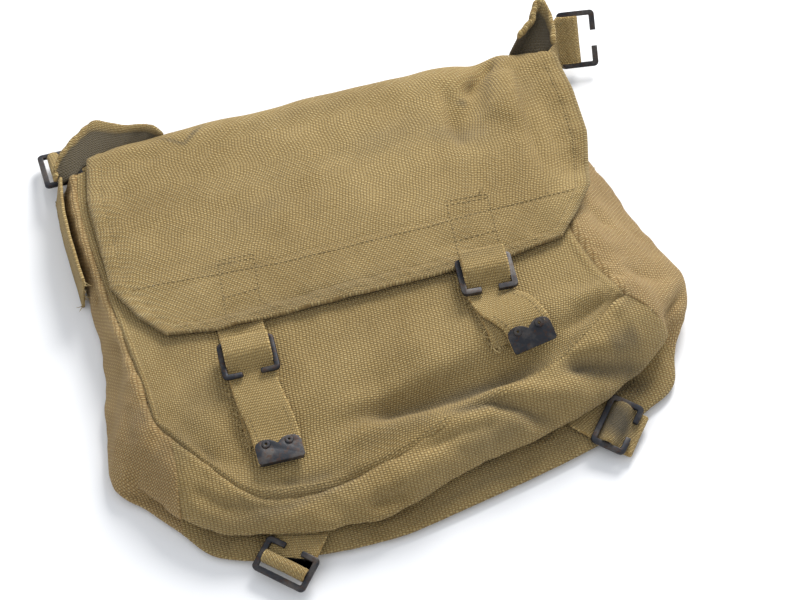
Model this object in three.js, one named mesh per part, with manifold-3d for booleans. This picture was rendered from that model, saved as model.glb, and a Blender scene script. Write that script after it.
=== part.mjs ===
// Canvas haversack, empty, lying on its back with the flap strapped down over the front.
// Millimetres. +Z is up from the surface it lies on, +Y runs from the bottom to the mouth and +X to the
// right of someone who looks at the front. The origin is on the underside of the back panel.
import * as THREE from 'three';
import { mergeVertices } from 'three/addons/utils/BufferGeometryUtils.js';
import Module from 'manifold-3d';

const wasm = await Module();
wasm.setup();

// Driving sizes of the bag
const bagWidth = 280;
const bagHeight = 230;
const bagRise = 40;
const gussetSpread = 50;
const backWidth = 268;
const backHeight = 244;
const flapLength = 143;
const flapSag = 5.5;
const clothWall = 1.8;
const gap = 0.3;
const seamPull = 0.35;

// Webbing and metal
const webWidth = 25.4;
const topWebWidth = 28.6;
const webWall = 1.8;
const layerGap = 0.45;
const sewnGap = 0.95;
const sideGap = 0.6;
const barWidth = 3.4;
const barThick = 2.6;
const centreBarWidth = 2.4;
const prongWindow = 10.5;
const lowProngWindow = 7;
const prongGap = 10;
const cornerRound = 3;
const tipWidth = 26.6;
const tipLength = 15;
const tipPlate = 0.6;
const rivetShank = 1.5;
const rivetHole = 0.8;
const rivetHead = 2.6;
const rivetHeadThick = 0.5;

// How finely the cloths are divided
const acrossSteps = 30;
const downSteps = 11;
const profileSteps = 12;
const rollSteps = 5;
const flapSteps = 12;
const backSteps = 3;
const roundSteps = 9;

const canvas = { color: 0xa8915f, roughness: 0.95, metalness: 0 };
const shadedCanvas = { color: 0x9c8052, roughness: 0.95, metalness: 0 };
const webbing = { color: 0xb29a62, roughness: 0.9, metalness: 0 };
const darkSteel = { color: 0x3a3b42, roughness: 0.5, metalness: 0.8 };

const haversack = new THREE.Group();

function addPiece(name, geometry, finish) {
  const mesh = new THREE.Mesh(geometry, new THREE.MeshStandardMaterial(finish));
  mesh.name = name;
  haversack.add(mesh);
  return mesh;
}

const vec = (x, y, z) => new THREE.Vector3(x, y, z);
const mix = (a, b, t) => a + (b - a) * t;

// Height of the middle of the front cloth, as shares of bagRise at five levels up the bag
const frontLevels = [
  { up: -0.60, left: 0.60, middle: 0.58, right: 0.74 },
  { up: -0.30, left: 0.74, middle: 0.84, right: 1.00 },
  { up: 0.00, left: 0.70, middle: 0.92, right: 1.02 },
  { up: 0.30, left: 0.68, middle: 0.88, right: 1.04 },
  { up: 0.60, left: 0.66, middle: 0.78, right: 1.00 },
];

// Folds and dents of the front and the flap: from one end to the other in shares of the bag's width
// and height, how far they rise (or sink) in shares of bagRise, and their half width in shares of bagWidth
const frontFolds = [
  { name: 'flap valley', x0: 0.37, y0: 0.66, x1: 0.23, y1: 0.40, rise: -0.14, wide: 0.042 },
  { name: 'flap second valley', x0: 0.40, y0: 0.60, x1: 0.43, y1: 0.18, rise: -0.14, wide: 0.04 },
  { name: 'flap ridge', x0: 0.43, y0: 0.66, x1: 0.33, y1: 0.40, rise: 0.11, wide: 0.042 },
  { name: 'belly valley', x0: -0.10, y0: -0.37, x1: 0.27, y1: -0.36, rise: -0.16, wide: 0.05 },
  { name: 'belly ridge', x0: 0.02, y0: -0.28, x1: 0.34, y1: -0.22, rise: 0.10, wide: 0.05 },
  { name: 'lower ridge', x0: 0.00, y0: -0.46, x1: 0.34, y1: -0.36, rise: 0.10, wide: 0.05 },
  { name: 'left sag', x0: -0.40, y0: -0.40, x1: -0.25, y1: -0.44, rise: -0.08, wide: 0.06 },
  { name: 'corner point', x0: 0.41, y0: -0.25, x1: 0.43, y1: -0.23, rise: 0.08, wide: 0.04 },
];

function alongLevels(key, up) {
  const first = frontLevels[0].up;
  const stepUp = frontLevels[1].up - first;
  const place = THREE.MathUtils.clamp((up - first) / stepUp, 0, frontLevels.length - 1.001);
  const low = Math.floor(place);
  const at = (i) => frontLevels[THREE.MathUtils.clamp(i, 0, frontLevels.length - 1)][key];
  const t = place - low;
  const slope0 = (at(low + 1) - at(low - 1)) / 2;
  const slope1 = (at(low + 2) - at(low)) / 2;
  const rise = at(low + 1) - at(low);
  return at(low) + t * (slope0 + t * (3 * rise - 2 * slope0 - slope1 + t * (slope0 + slope1 - 2 * rise)));
}

function foldHeight(fold, x, y) {
  const dx = (fold.x1 - fold.x0) * bagWidth;
  const dy = (fold.y1 - fold.y0) * bagHeight;
  const px = x - fold.x0 * bagWidth;
  const py = y - fold.y0 * bagHeight;
  const t = THREE.MathUtils.clamp((px * dx + py * dy) / (dx * dx + dy * dy), 0, 1);
  const away = Math.hypot(px - t * dx, py - t * dy) / (fold.wide * bagWidth);
  return fold.rise * Math.exp(-away * away);
}

function frontHeight(x, y) {
  const side = THREE.MathUtils.clamp(x / bagWidth / 0.58, -1.1, 1);
  const up = y / bagHeight;
  const left = alongLevels('left', up);
  const middle = alongLevels('middle', up);
  const right = alongLevels('right', up);
  const tilt = (right - left) / 2;
  const crown = (right + left) / 2 - middle;
  let share = middle + tilt * side + crown * side * side;
  for (const fold of frontFolds) share += foldHeight(fold, x, y);
  return share * bagRise;
}

// The flap lies over the front with room for one thickness of webbing between them
const flapLift = clothWall + webWall + 2 * layerGap;

function flapHeight(x, y) {
  return frontHeight(x, y) + flapLift;
}

// Sections of the sides and the bottom, from the left end of the mouth round to the right end.
// x and y: place on the front seam, shares of the bag's width and height. way: where the
// section points, in degrees. lip, groove and edge: three points of the section, each as a distance from
// the seam in shares of gussetSpread and a height in shares of bagRise.
const sections = [
  { x: -0.614, y: 0.530, way: 180, lip: 0.12, lipZ: 0.55, groove: 0.19, grooveZ: 0.33, edge: 0.24, edgeZ: 0.12 },
  { x: -0.625, y: 0.413, way: 180, lip: 0.10, lipZ: 0.55, groove: 0.15, grooveZ: 0.33, edge: 0.18, edgeZ: 0.12 },
  { x: -0.609, y: 0.157, way: 180, lip: 0.10, lipZ: 0.55, groove: 0.17, grooveZ: 0.33, edge: 0.20, edgeZ: 0.12 },
  { x: -0.589, y: -0.043, way: 180, lip: 0.12, lipZ: 0.48, groove: 0.22, grooveZ: 0.30, edge: 0.30, edgeZ: 0.12 },
  { x: -0.575, y: -0.183, way: 183, lip: 0.22, lipZ: 0.55, groove: 0.38, grooveZ: 0.36, edge: 0.48, edgeZ: 0.15 },
  { x: -0.568, y: -0.287, way: 221, lip: 0.45, lipZ: 0.50, groove: 0.66, grooveZ: 0.30, edge: 0.76, edgeZ: 0.14 },
  { x: -0.557, y: -0.317, way: 243, lip: 0.66, lipZ: 0.25, groove: 0.58, grooveZ: 0.16, edge: 0.74, edgeZ: 0.08 },
  { x: -0.543, y: -0.343, way: 264, lip: 0.84, lipZ: 0.32, groove: 0.70, grooveZ: 0.20, edge: 0.94, edgeZ: 0.08 },
  { x: -0.486, y: -0.435, way: 262, lip: 0.68, lipZ: 0.35, groove: 0.48, grooveZ: 0.20, edge: 0.88, edgeZ: 0.08 },
  { x: -0.407, y: -0.539, way: 268, lip: 0.38, lipZ: 0.35, groove: 0.10, grooveZ: 0.20, edge: 0.58, edgeZ: 0.08 },
  { x: -0.286, y: -0.557, way: 270, lip: 0.40, lipZ: 0.35, groove: 0.10, grooveZ: 0.20, edge: 0.58, edgeZ: 0.08 },
  { x: -0.143, y: -0.530, way: 270, lip: 0.52, lipZ: 0.35, groove: 0.24, grooveZ: 0.20, edge: 0.70, edgeZ: 0.08 },
  { x: 0.000, y: -0.474, way: 270, lip: 0.48, lipZ: 0.35, groove: 0.20, grooveZ: 0.20, edge: 0.80, edgeZ: 0.08 },
  { x: 0.150, y: -0.422, way: 272, lip: 0.52, lipZ: 0.36, groove: 0.24, grooveZ: 0.20, edge: 0.84, edgeZ: 0.08 },
  { x: 0.286, y: -0.357, way: 275, lip: 0.60, lipZ: 0.38, groove: 0.32, grooveZ: 0.20, edge: 0.92, edgeZ: 0.08 },
  { x: 0.375, y: -0.287, way: 285, lip: 0.66, lipZ: 0.45, groove: 0.42, grooveZ: 0.22, edge: 0.98, edgeZ: 0.09 },
  { x: 0.404, y: -0.261, way: 300, lip: 0.64, lipZ: 0.50, groove: 0.50, grooveZ: 0.25, edge: 0.96, edgeZ: 0.09 },
  { x: 0.425, y: -0.243, way: 318, lip: 0.60, lipZ: 0.55, groove: 0.54, grooveZ: 0.28, edge: 0.72, edgeZ: 0.14 },
  { x: 0.418, y: -0.217, way: 346, lip: 0.50, lipZ: 0.75, groove: 0.72, grooveZ: 0.50, edge: 0.84, edgeZ: 0.30 },
  { x: 0.396, y: -0.148, way: 353, lip: 0.50, lipZ: 0.80, groove: 0.86, grooveZ: 0.60, edge: 1.08, edgeZ: 0.40 },
  { x: 0.371, y: 0.004, way: 5, lip: 0.36, lipZ: 0.84, groove: 0.68, grooveZ: 0.60, edge: 0.98, edgeZ: 0.28 },
  { x: 0.368, y: 0.174, way: 5, lip: 0.30, lipZ: 0.84, groove: 0.56, grooveZ: 0.60, edge: 0.82, edgeZ: 0.25 },
  { x: 0.371, y: 0.370, way: 0, lip: 0.20, lipZ: 0.85, groove: 0.40, grooveZ: 0.60, edge: 0.58, edgeZ: 0.20 },
  { x: 0.379, y: 0.530, way: 0, lip: 0.16, lipZ: 0.80, groove: 0.32, grooveZ: 0.55, edge: 0.44, edgeZ: 0.20 },
];
const cornerLeft = 5;
const backCornerLeft = 7;
const backCornerRight = 16.2;
const bottomSeamLeft = 7;
const cornerRight = 17;
const crestOut = 0.55;
const crestDrop = 0.2;
const tuckIn = 0.12;

// Corners of the back panel, which lies flat, a little skewed by the folded bottom
const backMiddleX = -0.05 * bagWidth;
const mouthY = 0.548 * bagHeight;
const backCorners = {
  topLeft: vec(backMiddleX - backWidth / 2, mouthY, clothWall / 2),
  topRight: vec(backMiddleX + backWidth / 2, mouthY, clothWall / 2),
  bottomLeft: vec(backMiddleX - 0.495 * backWidth, mouthY - backHeight, clothWall / 2),
  bottomRight: vec(backMiddleX + 0.5 * backWidth, mouthY - 0.88 * backHeight, clothWall / 2),
};

function backEdgePoint(place) {
  const at = backCorners;
  const last = sections.length - 1;
  if (place <= backCornerLeft) return at.topLeft.clone().lerp(at.bottomLeft, place / backCornerLeft);
  if (place <= backCornerRight) {
    const t = (place - backCornerLeft) / (backCornerRight - backCornerLeft);
    return at.bottomLeft.clone().lerp(at.bottomRight, t);
  }
  return at.bottomRight.clone().lerp(at.topRight, (place - backCornerRight) / (last - backCornerRight));
}

function sectionPoints(row) {
  const angle = THREE.MathUtils.degToRad(row.way);
  const seamX = row.x * bagWidth;
  const seamY = row.y * bagHeight;
  const seamZ = frontHeight(seamX, seamY);
  const out = (share, z) => vec(
    seamX + Math.cos(angle) * share * gussetSpread,
    seamY + Math.sin(angle) * share * gussetSpread,
    z,
  );
  const crestZ = mix(seamZ, row.lipZ * bagRise, crestDrop);
  return {
    seam: vec(seamX, seamY, seamZ),
    crest: out(row.lip * crestOut, crestZ),
    lip: out(row.lip, row.lipZ * bagRise),
    groove: out(row.groove, row.grooveZ * bagRise),
    edge: out(row.edge, row.edgeZ * bagRise),
    tuck: out(row.edge - tuckIn, clothWall / 2),
  };
}

// One smooth curve through each of the six points of all the sections
const sectionKeys = ['seam', 'crest', 'lip', 'groove', 'edge', 'tuck'];
const sectionCurves = sectionKeys.map((key) => new THREE.CatmullRomCurve3(
  sections.map((row) => sectionPoints(row)[key]),
  false,
  'centripetal',
));

function sectionProfile(place) {
  const points = sectionCurves.map((curve) => curve.getPoint(place / (sections.length - 1)));
  points[0].z = frontHeight(points[0].x, points[0].y);
  points.push(backEdgePoint(place));
  const profile = new THREE.CatmullRomCurve3(points, false, 'centripetal');
  const line = [];
  for (let i = 0; i <= profileSteps; i += 1) {
    const p = profile.getPoint(i / profileSteps);
    p.z = Math.max(p.z, clothWall / 2);
    line.push(p);
  }
  return line;
}

// The sewn cloths are one surface of shared points, cut into pieces along the seams
const cloth = { points: [], faces: [], owners: [] };
const seamPoints = new Set();

function addPoint(p) {
  cloth.points.push(p);
  cloth.owners.push(new Set());
  return cloth.points.length - 1;
}

function addFace(piece, corners) {
  cloth.faces.push({ piece, corners });
  for (const corner of corners) cloth.owners[corner].add(piece);
}

function addGrid(piece, grid) {
  for (let r = 0; r + 1 < grid.length; r += 1) {
    for (let c = 0; c + 1 < grid[r].length; c += 1) {
      addFace(piece, [grid[r][c], grid[r + 1][c], grid[r + 1][c + 1], grid[r][c + 1]]);
    }
  }
}

const places = [];
for (let i = 0; i <= downSteps; i += 1) places.push(cornerLeft * i / downSteps);
for (let i = 1; i <= acrossSteps; i += 1) {
  places.push(mix(cornerLeft, cornerRight, i / acrossSteps));
}
for (let i = 1; i <= downSteps; i += 1) {
  places.push(mix(cornerRight, sections.length - 1, i / downSteps));
}
const strip = places.map((place) => sectionProfile(place).map(addPoint));
const firstBottom = downSteps;
const lastBottom = downSteps + acrossSteps;
const seamLeftStep = downSteps
  + Math.round((bottomSeamLeft - cornerLeft) / (cornerRight - cornerLeft) * acrossSteps);

const outsideStrip = strip.map((line) => [...line].reverse());
addGrid('gusset_left', outsideStrip.slice(0, seamLeftStep + 1));
addGrid('bottom_panel', outsideStrip.slice(seamLeftStep, lastBottom + 1));
addGrid('gusset_right', outsideStrip.slice(lastBottom));

// The front between its four edges: inner points follow the edges on plan and lie on the front's surface
function patch(left, right, top, bottom) {
  const across = top.length - 1;
  const down = left.length - 1;
  const at = (index) => cloth.points[index];
  const grid = [top];
  for (let j = 1; j < down; j += 1) {
    const v = j / down;
    const row = [left[j]];
    for (let i = 1; i < across; i += 1) {
      const u = shares[i];
      const inner = (axis) => mix(at(top[i])[axis], at(bottom[i])[axis], v)
        + mix(at(left[j])[axis], at(right[j])[axis], u)
        - mix(
          mix(at(top[0])[axis], at(bottom[0])[axis], v),
          mix(at(top[across])[axis], at(bottom[across])[axis], v),
          u,
        );
      const x = inner('x');
      const y = inner('y');
      row.push(addPoint(vec(x, y, frontHeight(x, y))));
    }
    row.push(right[j]);
    grid.push(row);
  }
  grid.push(bottom);
  return grid;
}

// Front panel
const seamLine = strip.map((line) => line[0]);
const frontEdges = {
  left: seamLine.slice(0, firstBottom + 1),
  bottom: seamLine.slice(firstBottom, lastBottom + 1),
  right: seamLine.slice(lastBottom).reverse(),
};
const seamStart = cloth.points[frontEdges.bottom[0]].x;
const seamEnd = cloth.points[frontEdges.bottom[acrossSteps]].x;
const shares = frontEdges.bottom.map((index) => (cloth.points[index].x - seamStart) / (seamEnd - seamStart));
const frontTop = shares.map((u, i) => {
  if (i === 0) return frontEdges.left[0];
  if (i === acrossSteps) return frontEdges.right[0];
  const p = cloth.points[frontEdges.left[0]].clone().lerp(cloth.points[frontEdges.right[0]], u);
  return addPoint(vec(p.x, p.y, frontHeight(p.x, p.y)));
});
addGrid('front_panel', patch(frontEdges.left, frontEdges.right, frontTop, frontEdges.bottom));

// Outline of the flap from its fold to its edge: how far down in shares of flapLength and how far out in
// shares of bagWidth
const flapOutline = [
  { leftDown: 0.00, leftX: -0.588, rightDown: 0.00, rightX: 0.477 },
  { leftDown: 0.20, leftX: -0.604, rightDown: 0.20, rightX: 0.482 },
  { leftDown: 0.42, leftX: -0.600, rightDown: 0.44, rightX: 0.476 },
  { leftDown: 0.68, leftX: -0.596, rightDown: 0.72, rightX: 0.438 },
  { leftDown: 0.86, leftX: -0.552, rightDown: 0.85, rightX: 0.385 },
  { leftDown: 0.97, leftX: -0.507, rightDown: 0.94, rightX: 0.343 },
];

// How far the turn over the mouth reaches, in shares of bagHeight
const turnReach = [
  { share: 0.00, reach: 0.016 },
  { share: 0.05, reach: 0.040 },
  { share: 0.12, reach: 0.068 },
  { share: 0.25, reach: 0.083 },
  { share: 0.50, reach: 0.096 },
  { share: 0.75, reach: 0.104 },
  { share: 0.90, reach: 0.100 },
  { share: 0.96, reach: 0.088 },
  { share: 1.00, reach: 0.055 },
];

function readTable(table, key, value, result) {
  let row = 0;
  while (row < table.length - 2 && table[row + 1][key] < value) row += 1;
  const t = (value - table[row][key]) / (table[row + 1][key] - table[row][key]);
  return mix(table[row][result], table[row + 1][result], t);
}

function flapPoint(t, u) {
  const place = Math.min(t * (flapOutline.length - 1), flapOutline.length - 1.0001);
  const low = Math.floor(place);
  const at = (key) => mix(flapOutline[low][key], flapOutline[low + 1][key], place - low);
  const x = mix(at('leftX'), at('rightX'), u) * bagWidth;
  const sag = flapSag * t * Math.min(1, u / 0.12, (1 - u) / 0.15);
  const y = mouthY - mix(at('leftDown'), at('rightDown'), u) * flapLength - sag;
  return vec(x, y, flapHeight(x, y));
}

// Back panel, the turn over the mouth and the flap: one cloth
const backGrid = [];
for (let k = 0; k <= backSteps; k += 1) {
  const v = k / backSteps;
  const left = backCorners.bottomLeft.clone().lerp(backCorners.topLeft, v);
  const right = backCorners.bottomRight.clone().lerp(backCorners.topRight, v);
  backGrid.push(shares.map((u) => addPoint(left.clone().lerp(right, u))));
}
// A point of the turn over the mouth: u across it, turn from 0 at the back to 1 at the flap
function mouthPoint(u, turn) {
  const angle = Math.PI * turn;
  const p = backCorners.topLeft.clone().lerp(backCorners.topRight, u);
  p.lerp(flapPoint(0, u), (1 - Math.cos(angle)) / 2);
  p.y += readTable(turnReach, 'share', u, 'reach') * bagHeight * Math.sin(angle);
  return p;
}

const rollGrid = [];
for (let k = 1; k < rollSteps; k += 1) {
  rollGrid.push(shares.map((u) => addPoint(mouthPoint(u, k / rollSteps))));
}
const flapGrid = [];
for (let k = 0; k <= flapSteps; k += 1) {
  flapGrid.push(shares.map((u) => addPoint(flapPoint(k / flapSteps, u))));
}
addGrid('back_and_flap', [...backGrid, ...rollGrid, ...flapGrid]);
for (const line of strip) seamPoints.add(line[profileSteps]);
for (const row of backGrid) {
  seamPoints.add(row[0]);
  seamPoints.add(row[acrossSteps]);
}
for (const index of backGrid[0]) seamPoints.add(index);

// Thick cloth pieces from the shared surface
const outward = cloth.points.map(() => vec(0, 0, 0));
for (const face of cloth.faces) {
  const [a, b, c, d] = face.corners.map((index) => cloth.points[index]);
  const n = c.clone().sub(a).cross(d.clone().sub(b));
  for (const corner of face.corners) outward[corner].add(n);
}
for (const n of outward) n.normalize();

function solidFromLayers(outer, inner, faces) {
  const vertices = [];
  const indices = [];
  const number = new Map();
  for (const key of outer.keys()) {
    number.set(key, vertices.length / 3);
    vertices.push(...outer.get(key).toArray(), ...inner.get(key).toArray());
  }
  const sides = new Map();
  for (const corners of faces) {
    const ring = corners.map((key) => number.get(key));
    const [a, b, c, d] = ring;
    indices.push(a, b, c, a, c, d);
    indices.push(a + 1, c + 1, b + 1, a + 1, d + 1, c + 1);
    ring.forEach((from, i) => {
      const to = ring[(i + 1) % 4];
      sides.set(`${from}_${to}`, { from, to, first: corners[i] < corners[(i + 1) % 4] });
    });
  }
  for (const side of sides.values()) {
    const edgeOnly = !sides.has(`${side.to}_${side.from}`);
    const a = side.from;
    const b = side.to;
    if (edgeOnly && side.first) indices.push(b, a, a + 1, b, a + 1, b + 1);
    if (edgeOnly && !side.first) indices.push(a, a + 1, b + 1, a, b + 1, b);
  }
  const geometry = new THREE.BufferGeometry();
  geometry.setAttribute('position', new THREE.Float32BufferAttribute(vertices, 3));
  geometry.setIndex(indices);
  return geometry;
}

function clothPiece(name) {
  const faces = cloth.faces.filter((face) => face.piece === name).map((face) => face.corners);
  const around = new Map();
  for (const corners of faces) {
    const middle = vec(0, 0, 0);
    for (const corner of corners) middle.addScaledVector(cloth.points[corner], 1 / 4);
    for (const corner of corners) {
      if (!around.has(corner)) around.set(corner, vec(0, 0, 0));
      around.get(corner).add(middle.clone().sub(cloth.points[corner]));
    }
  }
  const outer = new Map();
  const inner = new Map();
  for (const [corner, toMiddle] of around) {
    const n = outward[corner];
    const p = cloth.points[corner].clone();
    if (cloth.owners[corner].size > 1 || seamPoints.has(corner)) {
      toMiddle.addScaledVector(n, -toMiddle.dot(n)).normalize();
      p.addScaledVector(toMiddle, seamPull);
    }
    outer.set(corner, p.clone().addScaledVector(n, clothWall / 2));
    inner.set(corner, p.clone().addScaledVector(n, -clothWall / 2));
    outer.get(corner).z = Math.max(outer.get(corner).z, 0);
  }
  return solidFromLayers(outer, inner, faces);
}

addPiece('back_and_flap', clothPiece('back_and_flap'), canvas);
addPiece('front_panel', clothPiece('front_panel'), canvas);
addPiece('bottom_panel', clothPiece('bottom_panel'), shadedCanvas);
addPiece('gusset_left', clothPiece('gusset_left'), shadedCanvas);
addPiece('gusset_right', clothPiece('gusset_right'), shadedCanvas);

// A strip of even thickness from rows of points on its middle
function stripSolid(rows, wall) {
  const outer = new Map();
  const inner = new Map();
  const faces = [];
  const at = (r, c) => rows[THREE.MathUtils.clamp(r, 0, rows.length - 1)][
    THREE.MathUtils.clamp(c, 0, rows[0].length - 1)
  ];
  const key = (r, c) => r * rows[0].length + c;
  for (let r = 0; r < rows.length; r += 1) {
    for (let c = 0; c < rows[0].length; c += 1) {
      const along = at(r + 1, c).clone().sub(at(r - 1, c));
      const across = at(r, c + 1).clone().sub(at(r, c - 1));
      const n = along.cross(across).normalize();
      outer.set(key(r, c), at(r, c).clone().addScaledVector(n, wall / 2));
      inner.set(key(r, c), at(r, c).clone().addScaledVector(n, -wall / 2));
      if (r > 0 && c > 0) faces.push([key(r - 1, c - 1), key(r, c - 1), key(r, c), key(r - 1, c)]);
    }
  }
  return solidFromLayers(outer, inner, faces);
}

// A flat hard piece's own axes: across, toward the closed bar, and up
function hardFrame(origin, turn, climb, roll) {
  const yaw = THREE.MathUtils.degToRad(turn);
  const lift = THREE.MathUtils.degToRad(climb);
  const bar = vec(Math.cos(yaw) * Math.cos(lift), Math.sin(yaw) * Math.cos(lift), Math.sin(lift));
  const across = vec(Math.sin(yaw), -Math.cos(yaw), 0);
  across.applyAxisAngle(bar, THREE.MathUtils.degToRad(roll));
  const up = across.clone().cross(bar);
  return {
    origin,
    across,
    bar,
    up,
    at: (a, v, w) => origin.clone()
      .addScaledVector(across, a)
      .addScaledVector(bar, v)
      .addScaledVector(up, w),
    matrix: new THREE.Matrix4().makeBasis(across, bar, up).setPosition(origin),
  };
}

// Buckle sizes that follow from the webbing it holds
const centreBarRadius = Math.hypot(centreBarWidth, barThick) / 2;
const loopMiddle = centreBarRadius + gap + webWall / 2;
const strapMiddle = loopMiddle + webWall + gap;
const closedInner = strapMiddle + webWall / 2 + gap;
const closedOuter = closedInner + barWidth;
const prongInner = centreBarWidth / 2 + prongWindow;
const prongOuter = prongInner + barWidth;
const webUnderBar = barThick / 2 + gap + webWall / 2;

function buckleSolid(frame, width, window) {
  const prongInner = centreBarWidth / 2 + window;
  const prongOuter = prongInner + barWidth;
  const inside = width / 2 + sideGap;
  const outside = inside + barWidth;
  const r = cornerRound;
  const shape = new THREE.Shape();
  shape.moveTo(prongGap / 2, -prongOuter);
  shape.lineTo(outside - r, -prongOuter);
  shape.absarc(outside - r, -prongOuter + r, r, -Math.PI / 2, 0);
  shape.lineTo(outside, closedOuter - r);
  shape.absarc(outside - r, closedOuter - r, r, 0, Math.PI / 2);
  shape.lineTo(-outside + r, closedOuter);
  shape.absarc(-outside + r, closedOuter - r, r, Math.PI / 2, Math.PI);
  shape.lineTo(-outside, -prongOuter + r);
  shape.absarc(-outside + r, -prongOuter + r, r, Math.PI, Math.PI * 1.5);
  shape.lineTo(-prongGap / 2, -prongOuter);
  shape.lineTo(-prongGap / 2, -prongInner);
  shape.lineTo(-inside, -prongInner);
  shape.lineTo(-inside, -centreBarWidth / 2);
  shape.lineTo(inside, -centreBarWidth / 2);
  shape.lineTo(inside, -prongInner);
  shape.lineTo(prongGap / 2, -prongInner);
  const upper = new THREE.Path();
  upper.moveTo(-inside, centreBarWidth / 2);
  upper.lineTo(inside, centreBarWidth / 2);
  upper.lineTo(inside, closedInner);
  upper.lineTo(-inside, closedInner);
  upper.closePath();
  shape.holes.push(upper);
  const options = { depth: barThick, bevelEnabled: false, curveSegments: 3 };
  const geometry = new THREE.ExtrudeGeometry(shape, options);
  geometry.translate(0, 0, -barThick / 2);
  geometry.applyMatrix4(frame.matrix);
  return geometry;
}

// Rows of points across a web: in a hard piece's axes, on the ground plan, or between two points
const webCells = 2;
const cellShares = Array.from({ length: webCells + 1 }, (_, i) => i / webCells);

function rowInFrame(frame, v, w, width) {
  return cellShares.map((t) => frame.at((t - 0.5) * width, v, w));
}

function rowOnPlan(middle, across, height, width) {
  return cellShares.map((t) => {
    const x = middle.x + across.x * (t - 0.5) * width;
    const y = middle.y + across.y * (t - 0.5) * width;
    return vec(x, y, height(x, y));
  });
}

function rowBetween(from, to) {
  return cellShares.map((t) => from.clone().lerp(to, t));
}

function arcRows(frame, v, w, radius, from, to, width) {
  const steps = Math.ceil(Math.abs(to - from) / 28);
  const rows = [];
  for (let i = 0; i <= steps; i += 1) {
    const angle = THREE.MathUtils.degToRad(mix(from, to, i / steps));
    rows.push(rowInFrame(frame, v + radius * Math.cos(angle), w + radius * Math.sin(angle), width));
  }
  return rows;
}

// Layers over the front: a web sewn on it, the strap over that web, and the buckle over both
const chapeLift = clothWall / 2 + sewnGap + webWall / 2;
const strapUnderFlap = clothWall / 2 + layerGap + webWall / 2;
const strapOverChape = chapeLift + webWall + gap;
const buckleLift = strapOverChape + webUnderBar;
const tipHalf = webWall / 2 + gap / 2 + tipPlate;
const tipLift = chapeLift + webWall / 2 + gap + tipHalf;

// A hard piece laid on the front: it takes the slope below it and clears the highest point there
function seatOnFront(x, y, turn, along, across, lift) {
  const yaw = THREE.MathUtils.degToRad(turn);
  const height = (a, v) => frontHeight(
    x + Math.cos(yaw) * v + Math.sin(yaw) * a,
    y + Math.sin(yaw) * v - Math.cos(yaw) * a,
  );
  const climb = Math.atan2(height(0, along) - height(0, -along), 2 * along);
  const roll = Math.atan2(height(-across, 0) - height(across, 0), 2 * across);
  const seat = (z) => hardFrame(
    vec(x, y, z),
    turn,
    THREE.MathUtils.radToDeg(climb),
    THREE.MathUtils.radToDeg(roll),
  );
  const frame = seat(height(0, 0) + lift);
  let deepest = 0;
  for (const v of [-1, -0.5, 0, 0.5, 1]) {
    for (const a of [-1, -0.5, 0, 0.5, 1]) {
      const p = frame.at(a * across, v * along, -lift);
      deepest = Math.max(deepest, frontHeight(p.x, p.y) - p.z);
    }
  }
  return seat(height(0, 0) + lift + deepest);
}

// The two closures of the flap. barX and barY: middle of the buckle's centre bar; turn: which way its
// closed bar points; under: how far up under the flap the strap is sewn; fold: how far the strap folds
// back over the closed bar, in mm; tipX, tipY and tipTurn: the strap's metal end; chapeX and chapeY: the
// frayed end of the web that holds the buckle. Shares of bagWidth and bagHeight.
const closures = [
  {
    side: 'left', barX: -0.358, barY: -0.179, turn: 89, under: 0.143, fold: 1.6,
    tipX: -0.342, tipY: -0.446, tipTurn: 91, chapeX: -0.351, chapeY: -0.405,
  },
  {
    side: 'right', barX: 0.161, barY: -0.101, turn: 87, under: 0.143, fold: 4.6,
    tipX: 0.211, tipY: -0.306, tipTurn: 102, chapeX: 0.178, chapeY: -0.300,
  },
];

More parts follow.
